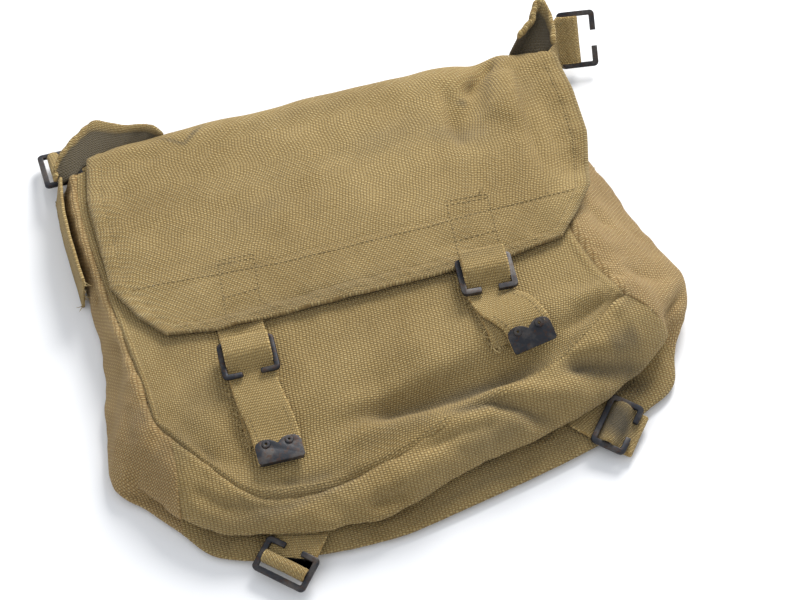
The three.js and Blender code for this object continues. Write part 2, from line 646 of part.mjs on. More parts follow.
function strapRows(closure, buckle, tip) {
  const rows = [];
  const mount = closure.under * bagHeight - buckle.origin.y;
  const way = vec(buckle.bar.x, buckle.bar.y, 0).normalize();
  const planAcross = vec(way.y, -way.x, 0);
  const underSteps = Math.round(mount / 8);
  for (let i = 0; i < underSteps; i += 1) {
    const v = mix(mount, closedInner + barWidth / 2, i / (underSteps - 1));
    const middle = buckle.origin.clone().addScaledVector(way, v);
    rows.push(rowOnPlan(middle, planAcross, (x, y) => frontHeight(x, y) + strapUnderFlap, webWidth));
  }
  const low = buckle.origin.z - frontHeight(buckle.origin.x, buckle.origin.y) - strapUnderFlap;
  const foldTo = closedInner + closure.fold;
  const firstLayer = webUnderBar + 0.1;
  const secondLayer = firstLayer + webWall + 2 * gap;
  const foldRadius = (secondLayer - firstLayer) / 2;
  const bends = [
    [strapMiddle + 0.9, -low + 0.4],
    [strapMiddle + 0.1, -low + 1.5],
    [strapMiddle, -0.4],
    [strapMiddle, 1.1],
    [strapMiddle + 0.35, firstLayer - 0.35],
    [closedInner + 0.3, firstLayer + 0.05],
  ];
  for (const [v, w] of bends) rows.push(rowInFrame(buckle, v, w, webWidth));
  rows.push(...arcRows(buckle, foldTo, firstLayer + foldRadius, foldRadius, -90, 90, webWidth));
  const over = [
    [closedInner, secondLayer + 0.3],
    [strapMiddle / 2, secondLayer + 0.6],
    [-0.2, strapMiddle + 0.6],
    [-2.4, strapMiddle - 0.2],
    [-4, strapMiddle - 1.4],
    [-prongInner + gap + webWall / 2, -webUnderBar - 0.1],
    [-prongInner - barWidth / 2, -webUnderBar - 0.3],
    [-prongOuter - 1.2, -webUnderBar - 0.45],
  ];
  for (const [v, w] of over) rows.push(rowInFrame(buckle, v, w, webWidth));

  const exitRow = rows[rows.length - 1];
  const entryRow = rowInFrame(tip, tipLength / 2 + 1.5, 0, webWidth);
  const middleOf = (row) => row[0].clone().lerp(row[webCells], 0.5).setZ(0);
  const start = middleOf(exitRow);
  const end = middleOf(entryRow);
  const reach = start.distanceTo(end) / 3;
  const tipWay = vec(tip.bar.x, tip.bar.y, 0).normalize();
  const course = new THREE.CubicBezierCurve3(
    start,
    start.clone().addScaledVector(way, -reach),
    end.clone().addScaledVector(tipWay, reach),
    end,
  );
  const above = (p) => p.z - frontHeight(p.x, p.y);
  const steps = Math.round(reach * 3 / 6);
  for (let k = 1; k < steps; k += 1) {
    const tangent = course.getTangent(k / steps);
    const row = rowOnPlan(course.getPoint(k / steps), vec(-tangent.y, tangent.x, 0), frontHeight, webWidth);
    row.forEach((p, i) => {
      p.z += mix(above(exitRow[i]), above(entryRow[i]), k / steps);
    });
    rows.push(row);
  }
  rows.push(entryRow);
  rows.push(rowInFrame(tip, 0, 0, webWidth));
  rows.push(rowInFrame(tip, -tipLength / 2 + tipPlate + gap, 0, webWidth));
  return rows;
}

// From the prongs round the centre bar, the end tucked in on top
function loopFromProngs(frame, low, width) {
  return [
    rowInFrame(frame, -7.5, mix(-low, -loopMiddle, 0.3), width),
    rowInFrame(frame, -4.2, mix(-low, -loopMiddle, 0.75), width),
    ...arcRows(frame, 0, 0, loopMiddle, -110, 165, width),
  ];
}

function chapeRows(closure, buckle) {
  const rows = [];
  const from = vec(closure.chapeX * bagWidth, closure.chapeY * bagHeight, 0);
  const to = buckle.at(0, -prongInner + 1, 0).setZ(0);
  const way = to.clone().sub(from).normalize();
  const across = vec(way.y, -way.x, 0);
  const steps = Math.round(from.distanceTo(to) / 7);
  for (let i = 0; i <= steps; i += 1) {
    const middle = from.clone().lerp(to, i / steps);
    rows.push(rowOnPlan(middle, across, (x, y) => frontHeight(x, y) + chapeLift, webWidth));
  }
  const low = buckle.origin.z - frontHeight(buckle.origin.x, buckle.origin.y) - chapeLift;
  rows.push(...loopFromProngs(buckle, low, webWidth));
  return rows;
}

function toManifold(geometry) {
  const flat = geometry.index ? geometry.toNonIndexed() : geometry.clone();
  const bare = new THREE.BufferGeometry();
  bare.setAttribute('position', flat.getAttribute('position'));
  const merged = mergeVertices(bare, 1e-4);
  return new wasm.Manifold(new wasm.Mesh({
    numProp: 3,
    vertProperties: merged.attributes.position.array,
    triVerts: new Uint32Array(merged.index.array),
  }));
}

function fromManifold(solid) {
  const mesh = solid.getMesh();
  const geometry = new THREE.BufferGeometry();
  geometry.setAttribute('position', new THREE.BufferAttribute(mesh.vertProperties, 3));
  geometry.setIndex(new THREE.BufferAttribute(mesh.triVerts, 1));
  return geometry;
}

// The strap's metal end: a plate folded round the web, with two lobes that hold the rivets
const rivetAcross = tipWidth / 4;
const rivetAlong = tipLength / 2 - rivetHead - 0.6;

function tipSolid(frame) {
  const half = tipWidth / 2;
  const shoulder = tipLength / 2 - 4.5;
  const shape = new THREE.Shape();
  shape.moveTo(-half + 1.2, -tipLength / 2);
  shape.lineTo(half - 1.2, -tipLength / 2);
  shape.lineTo(half, -tipLength / 2 + 1.2);
  shape.lineTo(half, shoulder);
  shape.quadraticCurveTo(half - 0.6, tipLength / 2, rivetAcross, tipLength / 2);
  shape.quadraticCurveTo(rivetAcross / 2, tipLength / 2, 0, shoulder + 1);
  shape.quadraticCurveTo(-rivetAcross / 2, tipLength / 2, -rivetAcross, tipLength / 2);
  shape.quadraticCurveTo(-half + 0.6, tipLength / 2, -half, shoulder);
  shape.lineTo(-half, -tipLength / 2 + 1.2);
  const options = { depth: 2 * tipHalf, bevelEnabled: false, curveSegments: 3 };
  const body = new THREE.ExtrudeGeometry(shape, options);
  body.translate(0, 0, -tipHalf);
  const slot = new THREE.BoxGeometry(tipWidth + 2, tipLength, webWall + gap);
  slot.translate(0, tipPlate, 0);
  let solid = toManifold(body).subtract(toManifold(slot));
  for (const side of [-1, 1]) solid = solid.subtract(rivetBore(side));
  return fromManifold(solid).applyMatrix4(frame.matrix);
}

function rivetBore(side) {
  const bore = new THREE.CylinderGeometry(rivetShank + gap, rivetShank + gap, 4 * tipHalf, roundSteps);
  bore.rotateX(Math.PI / 2);
  bore.translate(side * rivetAcross, rivetAlong, 0);
  return toManifold(bore);
}

function rivetSolid(frame, side) {
  const top = tipHalf + gap / 2;
  const profile = [
    [rivetHole, -top],
    [rivetShank, -top],
    [rivetShank, top],
    [rivetHead, top],
    [rivetHead - 0.3, top + rivetHeadThick],
    [rivetHole, top + rivetHeadThick],
    [rivetHole, -top],
  ].map(([r, h]) => new THREE.Vector2(r, h));
  const geometry = new THREE.LatheGeometry(profile, roundSteps);
  geometry.rotateX(Math.PI / 2);
  geometry.translate(side * rivetAcross, rivetAlong, 0);
  return geometry.applyMatrix4(frame.matrix);
}

for (const closure of closures) {
  const side = closure.side;
  const halfBuckle = (closedOuter + prongOuter) / 2;
  const buckle = seatOnFront(
    closure.barX * bagWidth,
    closure.barY * bagHeight,
    closure.turn,
    halfBuckle,
    webWidth / 2,
    buckleLift + 3 * gap,
  );
  const tip = seatOnFront(
    closure.tipX * bagWidth,
    closure.tipY * bagHeight,
    closure.tipTurn,
    tipLength / 2,
    tipWidth / 2,
    tipLift,
  );
  addPiece(`front_buckle_${side}`, buckleSolid(buckle, webWidth, prongWindow), darkSteel);
  addPiece(`buckle_chape_${side}`, stripSolid(chapeRows(closure, buckle), webWall), webbing);
  let strap = toManifold(stripSolid(strapRows(closure, buckle, tip), webWall));
  for (const end of [-1, 1]) {
    strap = strap.subtract(rivetBore(end).transform(tip.matrix.toArray()));
  }
  addPiece(`flap_strap_${side}`, fromManifold(strap), webbing);
  addPiece(`strap_tip_${side}`, tipSolid(tip), darkSteel);
  addPiece(`tip_rivet_${side}_1`, rivetSolid(tip, -1), darkSteel);
  addPiece(`tip_rivet_${side}_2`, rivetSolid(tip, 1), darkSteel);
}

// Corner buckles: middle of the centre bar in shares of bagWidth, bagHeight and bagRise, which way the
// closed bar points, how it climbs and rolls, in degrees
const cornerBuckles = {
  top_left: { x: -0.658, y: 0.620, z: 0.27, turn: 183, climb: 0, roll: 14 },
  top_right: { x: 0.561, y: 0.692, z: 0.45, turn: 174, climb: 0, roll: -42 },
  bottom_left: { x: -0.382, y: -0.704, z: 0.210, turn: 227, climb: -15, roll: 0 },
  bottom_right: { x: 0.344, y: -0.527, z: 0.240, turn: 141, climb: 7, roll: -5 },
};

const webWidths = {
  top_left: webWidth,
  top_right: topWebWidth,
  bottom_left: webWidth,
  bottom_right: webWidth,
};
const prongWindows = {
  top_left: prongWindow,
  top_right: prongWindow,
  bottom_left: lowProngWindow,
  bottom_right: lowProngWindow,
};

function cornerFrame(name) {
  const row = cornerBuckles[name];
  const origin = vec(row.x * bagWidth, row.y * bagHeight, row.z * bagRise);
  return hardFrame(origin, row.turn, row.climb, row.roll);
}

// A web that stands against a gusset: its row at a place of the sections, foot first
const sideOff = clothWall + sewnGap + 1.7;

function sideWebRow(place, side, width) {
  const groove = sectionCurves[3].getPoint(place / (sections.length - 1));
  const edge = sectionCurves[4].getPoint(place / (sections.length - 1));
  const foot = vec(edge.x + side * sideOff, edge.y, webWall);
  const lean = vec(groove.x + side * sideOff - foot.x, 0, groove.z - foot.z).normalize();
  return rowBetween(foot, foot.clone().addScaledVector(lean, width));
}

const cornerFrames = {};
for (const name of Object.keys(cornerBuckles)) {
  cornerFrames[name] = cornerFrame(name);
  const geometry = buckleSolid(cornerFrames[name], webWidths[name], prongWindows[name]);
  addPiece(name.replace('_', '_buckle_'), geometry, darkSteel);
}

// Where the webs of the corner buckles come out of the bag, from one selvedge to the other, in shares of
// bagWidth, bagHeight and bagRise
const webEnds = {
  top_left: { x0: -0.552, y0: 0.571, z0: 0.33, x1: -0.550, y1: 0.672, z1: 0.22 },
  top_right: { x0: 0.520, y0: 0.590, z0: 0.10, x1: 0.494, y1: 0.665, z1: 0.60 },
  bottom_left: { x0: -0.286, y0: -0.648, z0: 0.245, x1: -0.384, y1: -0.622, z1: 0.245 },
  bottom_right: { x0: 0.252, y0: -0.500, z0: 0.23, x1: 0.349, y1: -0.436, z1: 0.235 },
};

function webEndRow(name) {
  const row = webEnds[name];
  return rowBetween(
    vec(row.x0 * bagWidth, row.y0 * bagHeight, row.z0 * bagRise),
    vec(row.x1 * bagWidth, row.y1 * bagHeight, row.z1 * bagRise),
  );
}

function prongedWebRows(name) {
  const frame = cornerFrames[name];
  const width = webWidths[name];
  const inner = centreBarWidth / 2 + prongWindows[name];
  return [
    webEndRow(name),
    rowInFrame(frame, -inner - barWidth - gap, -webUnderBar, width),
    rowInFrame(frame, -inner + gap, -webUnderBar, width),
    rowInFrame(frame, -4.2, -loopMiddle + 0.05, width),
    ...arcRows(frame, 0, 0, loopMiddle, -90, 165, width),
  ];
}

// The upper right web lies over the closed bar, turns round the centre bar and ends below it
function overBarWebRows(name) {
  const width = webWidths[name];
  const frame = cornerFrames[name];
  return [
    sideWebRow(sections.length - 1.5, 1, width),
    sideWebRow(sections.length - 1, 1, width),
    webEndRow(name),
    rowInFrame(frame, closedOuter + 1, webUnderBar, width),
    rowInFrame(frame, closedInner, webUnderBar, width),
    rowInFrame(frame, 3, loopMiddle, width),
    ...arcRows(frame, 0, 0, loopMiddle, 90, 270, width),
    rowInFrame(frame, closedInner - gap, -webUnderBar, width),
  ];
}

// The lower right web goes under the closed bar, over the centre bar, under the prongs and turns back
function slackWebRows(name) {
  const width = webWidths[name];
  const frame = cornerFrames[name];
  const inner = centreBarWidth / 2 + prongWindows[name];
  const outer = inner + barWidth;
  const turn = (webWall + gap) / 2;
  return [
    webEndRow(name),
    rowInFrame(frame, closedOuter + gap, -webUnderBar, width),
    rowInFrame(frame, closedInner - 0.5, -webUnderBar, width),
    rowInFrame(frame, 3, webUnderBar * 0.45, width),
    rowInFrame(frame, 1.4, webUnderBar, width),
    rowInFrame(frame, -1.4, webUnderBar, width),
    rowInFrame(frame, -3.2, webUnderBar * 0.45, width),
    rowInFrame(frame, -inner + 1.2, -webUnderBar, width),
    rowInFrame(frame, -outer, -webUnderBar, width),
    ...arcRows(frame, -outer - 2.2, -webUnderBar - turn, turn, 90, 270, width),
    rowInFrame(frame, -outer + 0.5, -webUnderBar - 2 * turn, width),
  ];
}

addPiece('top_tab_left', stripSolid(prongedWebRows('top_left'), webWall), webbing);
addPiece('top_tab_right', stripSolid(overBarWebRows('top_right'), webWall), webbing);
addPiece('bottom_tab_left', stripSolid(prongedWebRows('bottom_left'), webWall), webbing);
addPiece('bottom_tab_right', stripSolid(slackWebRows('bottom_right'), webWall), webbing);

// The long web sewn down the left side stands against it
const sideWebFrom = 0;
const sideWebTo = 1.9;
const sideWebSteps = 9;
const sideWebRows = [];
for (let i = 0; i <= sideWebSteps; i += 1) {
  sideWebRows.push(sideWebRow(mix(sideWebFrom, sideWebTo, i / sideWebSteps), -1, webWidth));
}
addPiece('side_web_left', stripSolid(sideWebRows, webWall), webbing);

// Weather flaps at the two ends of the mouth, from their hidden root to their hem, in shares of
// bagWidth, bagHeight and bagRise
const earLeftRows = [
  { rootX: -0.656, rootY: 0.536, rootZ: 0.46, hemX: -0.664, hemY: 0.548, hemZ: 0.56 },
  { rootX: -0.648, rootY: 0.536, rootZ: 0.52, hemX: -0.659, hemY: 0.580, hemZ: 0.60 },
  { rootX: -0.638, rootY: 0.536, rootZ: 0.57, hemX: -0.629, hemY: 0.624, hemZ: 0.69 },
  { rootX: -0.618, rootY: 0.539, rootZ: 0.63, hemX: -0.590, hemY: 0.665, hemZ: 0.71 },
  { rootX: -0.598, rootY: 0.560, rootZ: 0.65, hemX: -0.557, hemY: 0.687, hemZ: 0.72 },
  { rootX: -0.564, rootY: 0.580, rootZ: 0.69, hemX: -0.509, hemY: 0.655, hemZ: 0.76 },
  { rootX: -0.521, rootY: 0.593, rootZ: 0.71, hemX: -0.455, hemY: 0.640, hemZ: 0.80 },
];
const earRightRows = [
  { share: 0.935, turn: 0.62, hemX: 0.420, hemY: 0.650, hemZ: 1.14 },
  { share: 0.950, turn: 0.60, hemX: 0.452, hemY: 0.676, hemZ: 1.24 },
  { share: 0.962, turn: 0.60, hemX: 0.470, hemY: 0.714, hemZ: 1.34 },
  { share: 0.974, turn: 0.64, hemX: 0.486, hemY: 0.716, hemZ: 1.34 },
  { share: 0.987, turn: 0.68, hemX: 0.494, hemY: 0.664, hemZ: 1.22 },
  { share: 1.000, turn: 0.72, hemX: 0.486, hemY: 0.600, hemZ: 1.12 },
];
const earCells = 3;

function shareOf(row, kind) {
  return vec(row[`${kind}X`] * bagWidth, row[`${kind}Y`] * bagHeight, row[`${kind}Z`] * bagRise);
}

function rootOnTurn(row) {
  const angle = Math.PI * row.turn;
  const away = vec(0, Math.sin(angle), -Math.cos(angle));
  return mouthPoint(row.share, row.turn).addScaledVector(away, clothWall + gap);
}

function earSolid(table, rootOf) {
  const rows = table.map((row) => {
    const root = rootOf(row);
    const hem = shareOf(row, 'hem');
    return Array.from({ length: earCells + 1 }, (_, i) => root.clone().lerp(hem, i / earCells));
  });
  return stripSolid(rows, clothWall);
}

addPiece('ear_left', earSolid(earLeftRows, (row) => shareOf(row, 'root')), canvas);
addPiece('ear_right', earSolid(earRightRows, rootOnTurn), canvas);

export default haversack;
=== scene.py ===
import bpy
import bmesh
import math
import numpy as np
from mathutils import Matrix, Quaternion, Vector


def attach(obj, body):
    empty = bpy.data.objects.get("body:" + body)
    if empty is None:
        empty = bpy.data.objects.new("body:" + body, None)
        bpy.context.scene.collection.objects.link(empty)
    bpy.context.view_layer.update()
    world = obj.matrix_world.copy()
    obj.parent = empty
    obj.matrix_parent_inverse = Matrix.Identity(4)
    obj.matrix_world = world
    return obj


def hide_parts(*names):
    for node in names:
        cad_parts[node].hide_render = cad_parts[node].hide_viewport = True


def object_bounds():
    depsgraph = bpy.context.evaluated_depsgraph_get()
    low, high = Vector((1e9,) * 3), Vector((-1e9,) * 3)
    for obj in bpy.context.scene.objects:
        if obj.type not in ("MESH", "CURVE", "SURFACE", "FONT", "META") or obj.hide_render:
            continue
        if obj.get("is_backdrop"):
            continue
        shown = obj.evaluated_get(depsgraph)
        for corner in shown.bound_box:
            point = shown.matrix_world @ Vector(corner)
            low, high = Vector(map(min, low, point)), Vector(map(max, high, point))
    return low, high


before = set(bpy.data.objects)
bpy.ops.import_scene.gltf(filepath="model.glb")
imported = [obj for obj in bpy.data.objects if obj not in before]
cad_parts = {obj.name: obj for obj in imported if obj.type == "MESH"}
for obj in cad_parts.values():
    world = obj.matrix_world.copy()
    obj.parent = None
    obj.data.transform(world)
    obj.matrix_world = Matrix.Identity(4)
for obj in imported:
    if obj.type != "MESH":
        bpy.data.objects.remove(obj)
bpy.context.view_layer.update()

mm = 0.001

# The bag's own sizes, in millimetres
bag = {
    "width": 280, "height": 230, "rise": 40, "spread": 50,
    "backWidth": 268, "backHeight": 244, "flapLength": 143, "flapSag": 5.5,
    "wall": 1.8, "webWall": 1.8, "web": 25.4, "topWeb": 28.6, "layerGap": 0.45, "sewnGap": 0.95,
    "sideWebGap": 1.7,
}
clothHalf = bag["wall"] / 2   # also the height of the middle of a cloth that lies on the table
buckle = {"bar": 3.4, "thick": 2.6, "centre": 2.4, "window": 10.5, "lowWindow": 7, "gap": 0.3}


# Shape of the front, the sides and the flap
frontLevels = [  # up, left, middle, right
    (-0.60, 0.60, 0.58, 0.74), (-0.30, 0.74, 0.84, 1.00), (0.00, 0.70, 0.92, 1.02),
    (0.30, 0.68, 0.88, 1.04), (0.60, 0.66, 0.78, 1.00),
]
broadFolds = [  # x0, y0, x1, y1, rise, half width
    (0.37, 0.66, 0.23, 0.40, -0.14, 0.042), (0.40, 0.60, 0.43, 0.18, -0.14, 0.04),
    (0.43, 0.66, 0.33, 0.40, 0.11, 0.042), (-0.10, -0.37, 0.27, -0.36, -0.16, 0.05),
    (0.02, -0.28, 0.34, -0.22, 0.10, 0.05), (0.00, -0.46, 0.34, -0.36, 0.10, 0.05),
    (-0.40, -0.40, -0.25, -0.44, -0.08, 0.06), (0.41, -0.25, 0.43, -0.23, 0.08, 0.04),
]


def alongLevels(column, up):
    table = np.array([row[column] for row in frontLevels])
    last = len(table) - 1
    place = np.clip((up + 0.6) / 0.3, 0, last - 0.001)
    low = np.floor(place).astype(int)
    t = place - low
    at = lambda i: table[np.clip(i, 0, last)]
    slope0 = (at(low + 1) - at(low - 1)) / 2
    slope1 = (at(low + 2) - at(low)) / 2
    rise = at(low + 1) - at(low)
    return at(low) + t * (slope0 + t * (3 * rise - 2 * slope0 - slope1 + t * (slope0 + slope1 - 2 * rise)))


def foldsAt(folds, x, y):
    total = 0 * x
    for x0, y0, x1, y1, rise, wide in folds:
        dx, dy = (x1 - x0) * bag["width"], (y1 - y0) * bag["height"]
        px, py = x - x0 * bag["width"], y - y0 * bag["height"]
        t = np.clip((px * dx + py * dy) / (dx * dx + dy * dy), 0, 1)
        away = np.hypot(px - t * dx, py - t * dy) / (wide * bag["width"])
        total = total + rise * np.exp(-away * away)
    return total


def frontHeight(x, y):
    x, y = np.asarray(x, float), np.asarray(y, float)
    side = np.clip(x / bag["width"] / 0.58, -1.1, 1)
    left, middle, right = (alongLevels(i, y / bag["height"]) for i in (1, 2, 3))
    share = middle + (right - left) / 2 * side + ((right + left) / 2 - middle) * side * side
    return (share + foldsAt(broadFolds, x, y)) * bag["rise"]


flapLift = bag["wall"] + bag["webWall"] + 2 * bag["layerGap"]

sections = [  # x, y, way, lip, lipZ, groove, grooveZ, edge, edgeZ
    (-0.614, 0.530, 180, 0.12, 0.55, 0.19, 0.33, 0.24, 0.12),
    (-0.625, 0.413, 180, 0.10, 0.55, 0.15, 0.33, 0.18, 0.12),
    (-0.609, 0.157, 180, 0.10, 0.55, 0.17, 0.33, 0.20, 0.12),
    (-0.589, -0.043, 180, 0.12, 0.48, 0.22, 0.30, 0.30, 0.12),
    (-0.575, -0.183, 183, 0.22, 0.55, 0.38, 0.36, 0.48, 0.15),
    (-0.568, -0.287, 221, 0.45, 0.50, 0.66, 0.30, 0.76, 0.14),
    (-0.557, -0.317, 243, 0.66, 0.25, 0.58, 0.16, 0.74, 0.08),
    (-0.543, -0.343, 264, 0.84, 0.32, 0.70, 0.20, 0.94, 0.08),
    (-0.486, -0.435, 262, 0.68, 0.35, 0.48, 0.20, 0.88, 0.08),
    (-0.407, -0.539, 268, 0.38, 0.35, 0.10, 0.20, 0.58, 0.08),
    (-0.286, -0.557, 270, 0.40, 0.35, 0.10, 0.20, 0.58, 0.08),
    (-0.143, -0.530, 270, 0.52, 0.35, 0.24, 0.20, 0.70, 0.08),
    (0.000, -0.474, 270, 0.48, 0.35, 0.20, 0.20, 0.80, 0.08),
    (0.150, -0.422, 272, 0.52, 0.36, 0.24, 0.20, 0.84, 0.08),
    (0.286, -0.357, 275, 0.60, 0.38, 0.32, 0.20, 0.92, 0.08),
    (0.375, -0.287, 285, 0.66, 0.45, 0.42, 0.22, 0.98, 0.09),
    (0.404, -0.261, 300, 0.64, 0.50, 0.50, 0.25, 0.96, 0.09),
    (0.425, -0.243, 318, 0.60, 0.55, 0.54, 0.28, 0.72, 0.14),
    (0.418, -0.217, 346, 0.50, 0.75, 0.72, 0.50, 0.84, 0.30),
    (0.396, -0.148, 353, 0.50, 0.80, 0.86, 0.60, 1.08, 0.40),
    (0.371, 0.004, 5, 0.36, 0.84, 0.68, 0.60, 0.98, 0.28),
    (0.368, 0.174, 5, 0.30, 0.84, 0.56, 0.60, 0.82, 0.25),
    (0.371, 0.370, 0, 0.20, 0.85, 0.40, 0.60, 0.58, 0.20),
    (0.379, 0.530, 0, 0.16, 0.80, 0.32, 0.55, 0.44, 0.20),
]
lastSection = len(sections) - 1
leftEnd, rightEnd = 7, 17   # the sections where the side gussets meet the bottom
frontTurn = 5               # the section at the front's lower left corner
backTurn = 16.2             # where the back's lower right corner lies between the sections
mouthY = 0.548 * bag["height"]
backMiddle = -0.05 * bag["width"]
backCorners = {
    "topLeft": np.array((backMiddle - bag["backWidth"] / 2, mouthY, clothHalf)),
    "topRight": np.array((backMiddle + bag["backWidth"] / 2, mouthY, clothHalf)),
    "bottomLeft": np.array((backMiddle - 0.495 * bag["backWidth"], mouthY - bag["backHeight"], clothHalf)),
    "bottomRight": np.array((backMiddle + 0.5 * bag["backWidth"], mouthY - 0.88 * bag["backHeight"],
                             clothHalf)),
}


# A centripetal curve through the points, spaced by the measured part of each.
# place runs from 0 to the last point's number.
def smoothCurve(points, place, measured=slice(None), least=1e-4):
    last = len(points) - 1
    low = min(int(place), last - 1)
    t = place - low
    p1, p2 = points[low], points[low + 1]
    p0 = points[low - 1] if low > 0 else 2 * p1 - p2
    p3 = points[low + 2] if low + 2 <= last else 2 * p2 - p1
    pairs = ((p0, p1), (p1, p2), (p2, p3))
    d0, d1, d2 = (max(least, math.sqrt(np.linalg.norm((b - a)[measured]))) for a, b in pairs)
    m1 = ((p1 - p0) / d0 - (p2 - p0) / (d0 + d1) + (p2 - p1) / d1) * d1
    m2 = ((p2 - p1) / d1 - (p3 - p1) / (d1 + d2) + (p3 - p2) / d2) * d1
    return p1 + t * (m1 + t * (3 * (p2 - p1) - 2 * m1 - m2 + t * (2 * (p1 - p2) + m1 + m2)))


def sectionPoints(row):
    x, y, way, lip, lipZ, groove, grooveZ, edge, edgeZ = row
    x, y, angle = x * bag["width"], y * bag["height"], math.radians(way)
    seamZ = float(frontHeight(x, y))
    out = lambda share, z: np.array((x + math.cos(angle) * share * bag["spread"],
                                     y + math.sin(angle) * share * bag["spread"], z))
    rise = bag["rise"]
    crestZ = seamZ + 0.2 * (lipZ * rise - seamZ)
    return [np.array((x, y, seamZ)), out(lip * 0.55, crestZ), out(lip, lipZ * rise),
            out(groove, grooveZ * rise), out(edge, edgeZ * rise), out(edge - 0.12, clothHalf)]


sectionCurves = list(zip(*[sectionPoints(row) for row in sections]))


def backEdge(place):
    c = backCorners
    if place <= leftEnd:
        start, stop, share = "topLeft", "bottomLeft", place / leftEnd
    elif place <= backTurn:
        start, stop, share = "bottomLeft", "bottomRight", (place - leftEnd) / (backTurn - leftEnd)
    else:
        start, stop, share = "bottomRight", "topRight", (place - backTurn) / (lastSection - backTurn)
    return c[start] + (c[stop] - c[start]) * share


def stripLine(place, steps):
    points = [smoothCurve(curve, place) for curve in sectionCurves]
    points[0][2] = frontHeight(points[0][0], points[0][1])
    points.append(backEdge(place))
    line = np.array([smoothCurve(points, 6 * i / steps) for i in range(steps + 1)])
    line[:, 2] = np.maximum(line[:, 2], clothHalf)
    return line


flapOutline = np.array([  # leftDown, leftX, rightDown, rightX
    (0.00, -0.588, 0.00, 0.477), (0.20, -0.604, 0.20, 0.482), (0.42, -0.600, 0.44, 0.476),
    (0.68, -0.596, 0.72, 0.438), (0.86, -0.552, 0.85, 0.385), (0.97, -0.507, 0.94, 0.343),
])
turnReach = np.array([  # share, reach
    (0.00, 0.032), (0.05, 0.058), (0.12, 0.072), (0.25, 0.083), (0.50, 0.096),
    (0.75, 0.104), (0.90, 0.100), (0.96, 0.088), (1.00, 0.055),
])


def flapPoints(t, u):
    rows = [np.interp(t * 5, range(6), flapOutline[:, i]) for i in range(4)]
    x = (rows[1] + (rows[3] - rows[1]) * u) * bag["width"]
    sag = bag["flapSag"] * t * np.minimum(1, np.minimum(u / 0.12, (1 - u) / 0.15))
    y = mouthY - (rows[0] + (rows[2] - rows[0]) * u) * bag["flapLength"] - sag
    return np.stack((x, y, frontHeight(x, y) + flapLift), -1)


# Meshes from grids of points
def gridNormals(grid):
    along = np.gradient(grid, axis=0)
    across = np.gradient(grid, axis=1)
    n = np.cross(along, across)
    return n / np.maximum(1e-9, np.linalg.norm(n, axis=2, keepdims=True))


def lengths(grid, axis):
    steps = np.linalg.norm(np.diff(grid, axis=axis), axis=2)
    pad = [(1, 0), (0, 0)] if axis == 0 else [(0, 0), (1, 0)]
    return np.cumsum(np.pad(steps, pad), axis=axis)


# Soft random undulation between about -1 and 1
def waves(x, y, size, seed, count=9):
    roll = np.random.default_rng(seed)
    total = 0 * x
    for _ in range(count):
        angle = roll.uniform(0, math.tau)
        length = size * roll.uniform(0.7, 1.6)
        across = x * math.cos(angle) + y * math.sin(angle)
        total = total + np.sin(across * math.tau / length + roll.uniform(0, 9))
    return total / math.sqrt(count)


# Height of sharp folds near lines in space: x0, y0, z0, x1, y1, z1, rise, half width
def creases(points, table):
    total = np.zeros(points.shape[:2])
    for row in table:
        a, b = np.array(row[0:3], float), np.array(row[3:6], float)
        d = b - a
        t = np.clip(((points - a) @ d) / (d @ d), 0, 1)
        away = np.linalg.norm(points - a - t[..., None] * d, axis=2) / row[7]
        fade = np.sin(np.clip(t * 0.8 + 0.1, 0, 1) * math.pi)
        total += row[6] * np.exp(-away * away) * fade
    return total


# 1 on a path across the plan, falling to 0 beside it and at its ends
def pathHeight(x, y, path, wide, ends=0.3):
    path = np.array(path, float)
    steps = np.linalg.norm(np.diff(path, axis=0), axis=1)
    before = np.concatenate(([0], np.cumsum(steps)))
    best, along = np.full(x.shape, 1e9), np.zeros(x.shape)
    for a, b, start, step in zip(path[:-1], path[1:], before, steps):
        d = b - a
        t = np.clip(((x - a[0]) * d[0] + (y - a[1]) * d[1]) / (d @ d), 0, 1)
        away = np.hypot(x - a[0] - t * d[0], y - a[1] - t * d[1])
        closer = away < best
        best, along = np.where(closer, away, best), np.where(closer, start + t * step, along)
    share = along / before[-1]
    fade = np.clip(np.minimum(share, 1 - share) / ends, 0, 1)
    return np.exp(-(best / wide) ** 2) * fade * fade * (3 - 2 * fade)


def relief(grid, folds):
    return sum(rise * pathHeight(grid[..., 0], grid[..., 1], path, wide) for path, rise, wide in folds)


lowerFolds = [  # path over the plan, rise, half width
    ([(-70, -92), (-41, -90), (-8, -90), (36, -88), (59, -82), (80, -77)], -5.6, 6.5),
    ([(-74, -88), (-35, -81), (-5, -75), (24, -69), (44, -64)], 2.6, 6.0),
    ([(66, -90), (88, -93), (102, -95), (115, -95), (128, -94)], -5.2, 5.5),
    ([(72, -84), (95, -84), (112, -80)], 2.2, 5.0),
    ([(-10, -101), (19, -101), (27, -102), (50, -114), (70, -118)], -4.2, 4.6),
    ([(13, -96), (40, -98), (61, -103), (90, -106)], 2.8, 5.0),
    ([(30, -112), (52, -122), (70, -124)], 1.8, 5.0),
    ([(124, -54), (98, -62), (70, -72)], -2.6, 4.0), ([(114, -48), (86, -56)], 1.6, 5.0),
    ([(-80, -106), (-40, -102), (0, -98)], 2.2, 7.0), ([(-112, -118), (-84, -121), (-54, -119)], -2.8, 4.5),
    ([(-140, -126), (-117, -131), (-97, -132), (-74, -127), (-34, -124)], -3.0, 5.0),
    ([(-30, -122), (10, -116), (38, -114)], -2.8, 4.0), ([(-70, -136), (-30, -132), (6, -127)], 1.8, 6.0),
    ([(-60, -146), (-46, -143), (-26, -140)], -2.6, 3.6), ([(60, -114), (92, -106), (120, -98)], 1.4, 5.0),
    ([(-150, -108), (-138, -122), (-122, -130)], -2.4, 4.0),
    ([(-146, -88), (-126, -100), (-106, -108)], -1.8, 4.5),
]
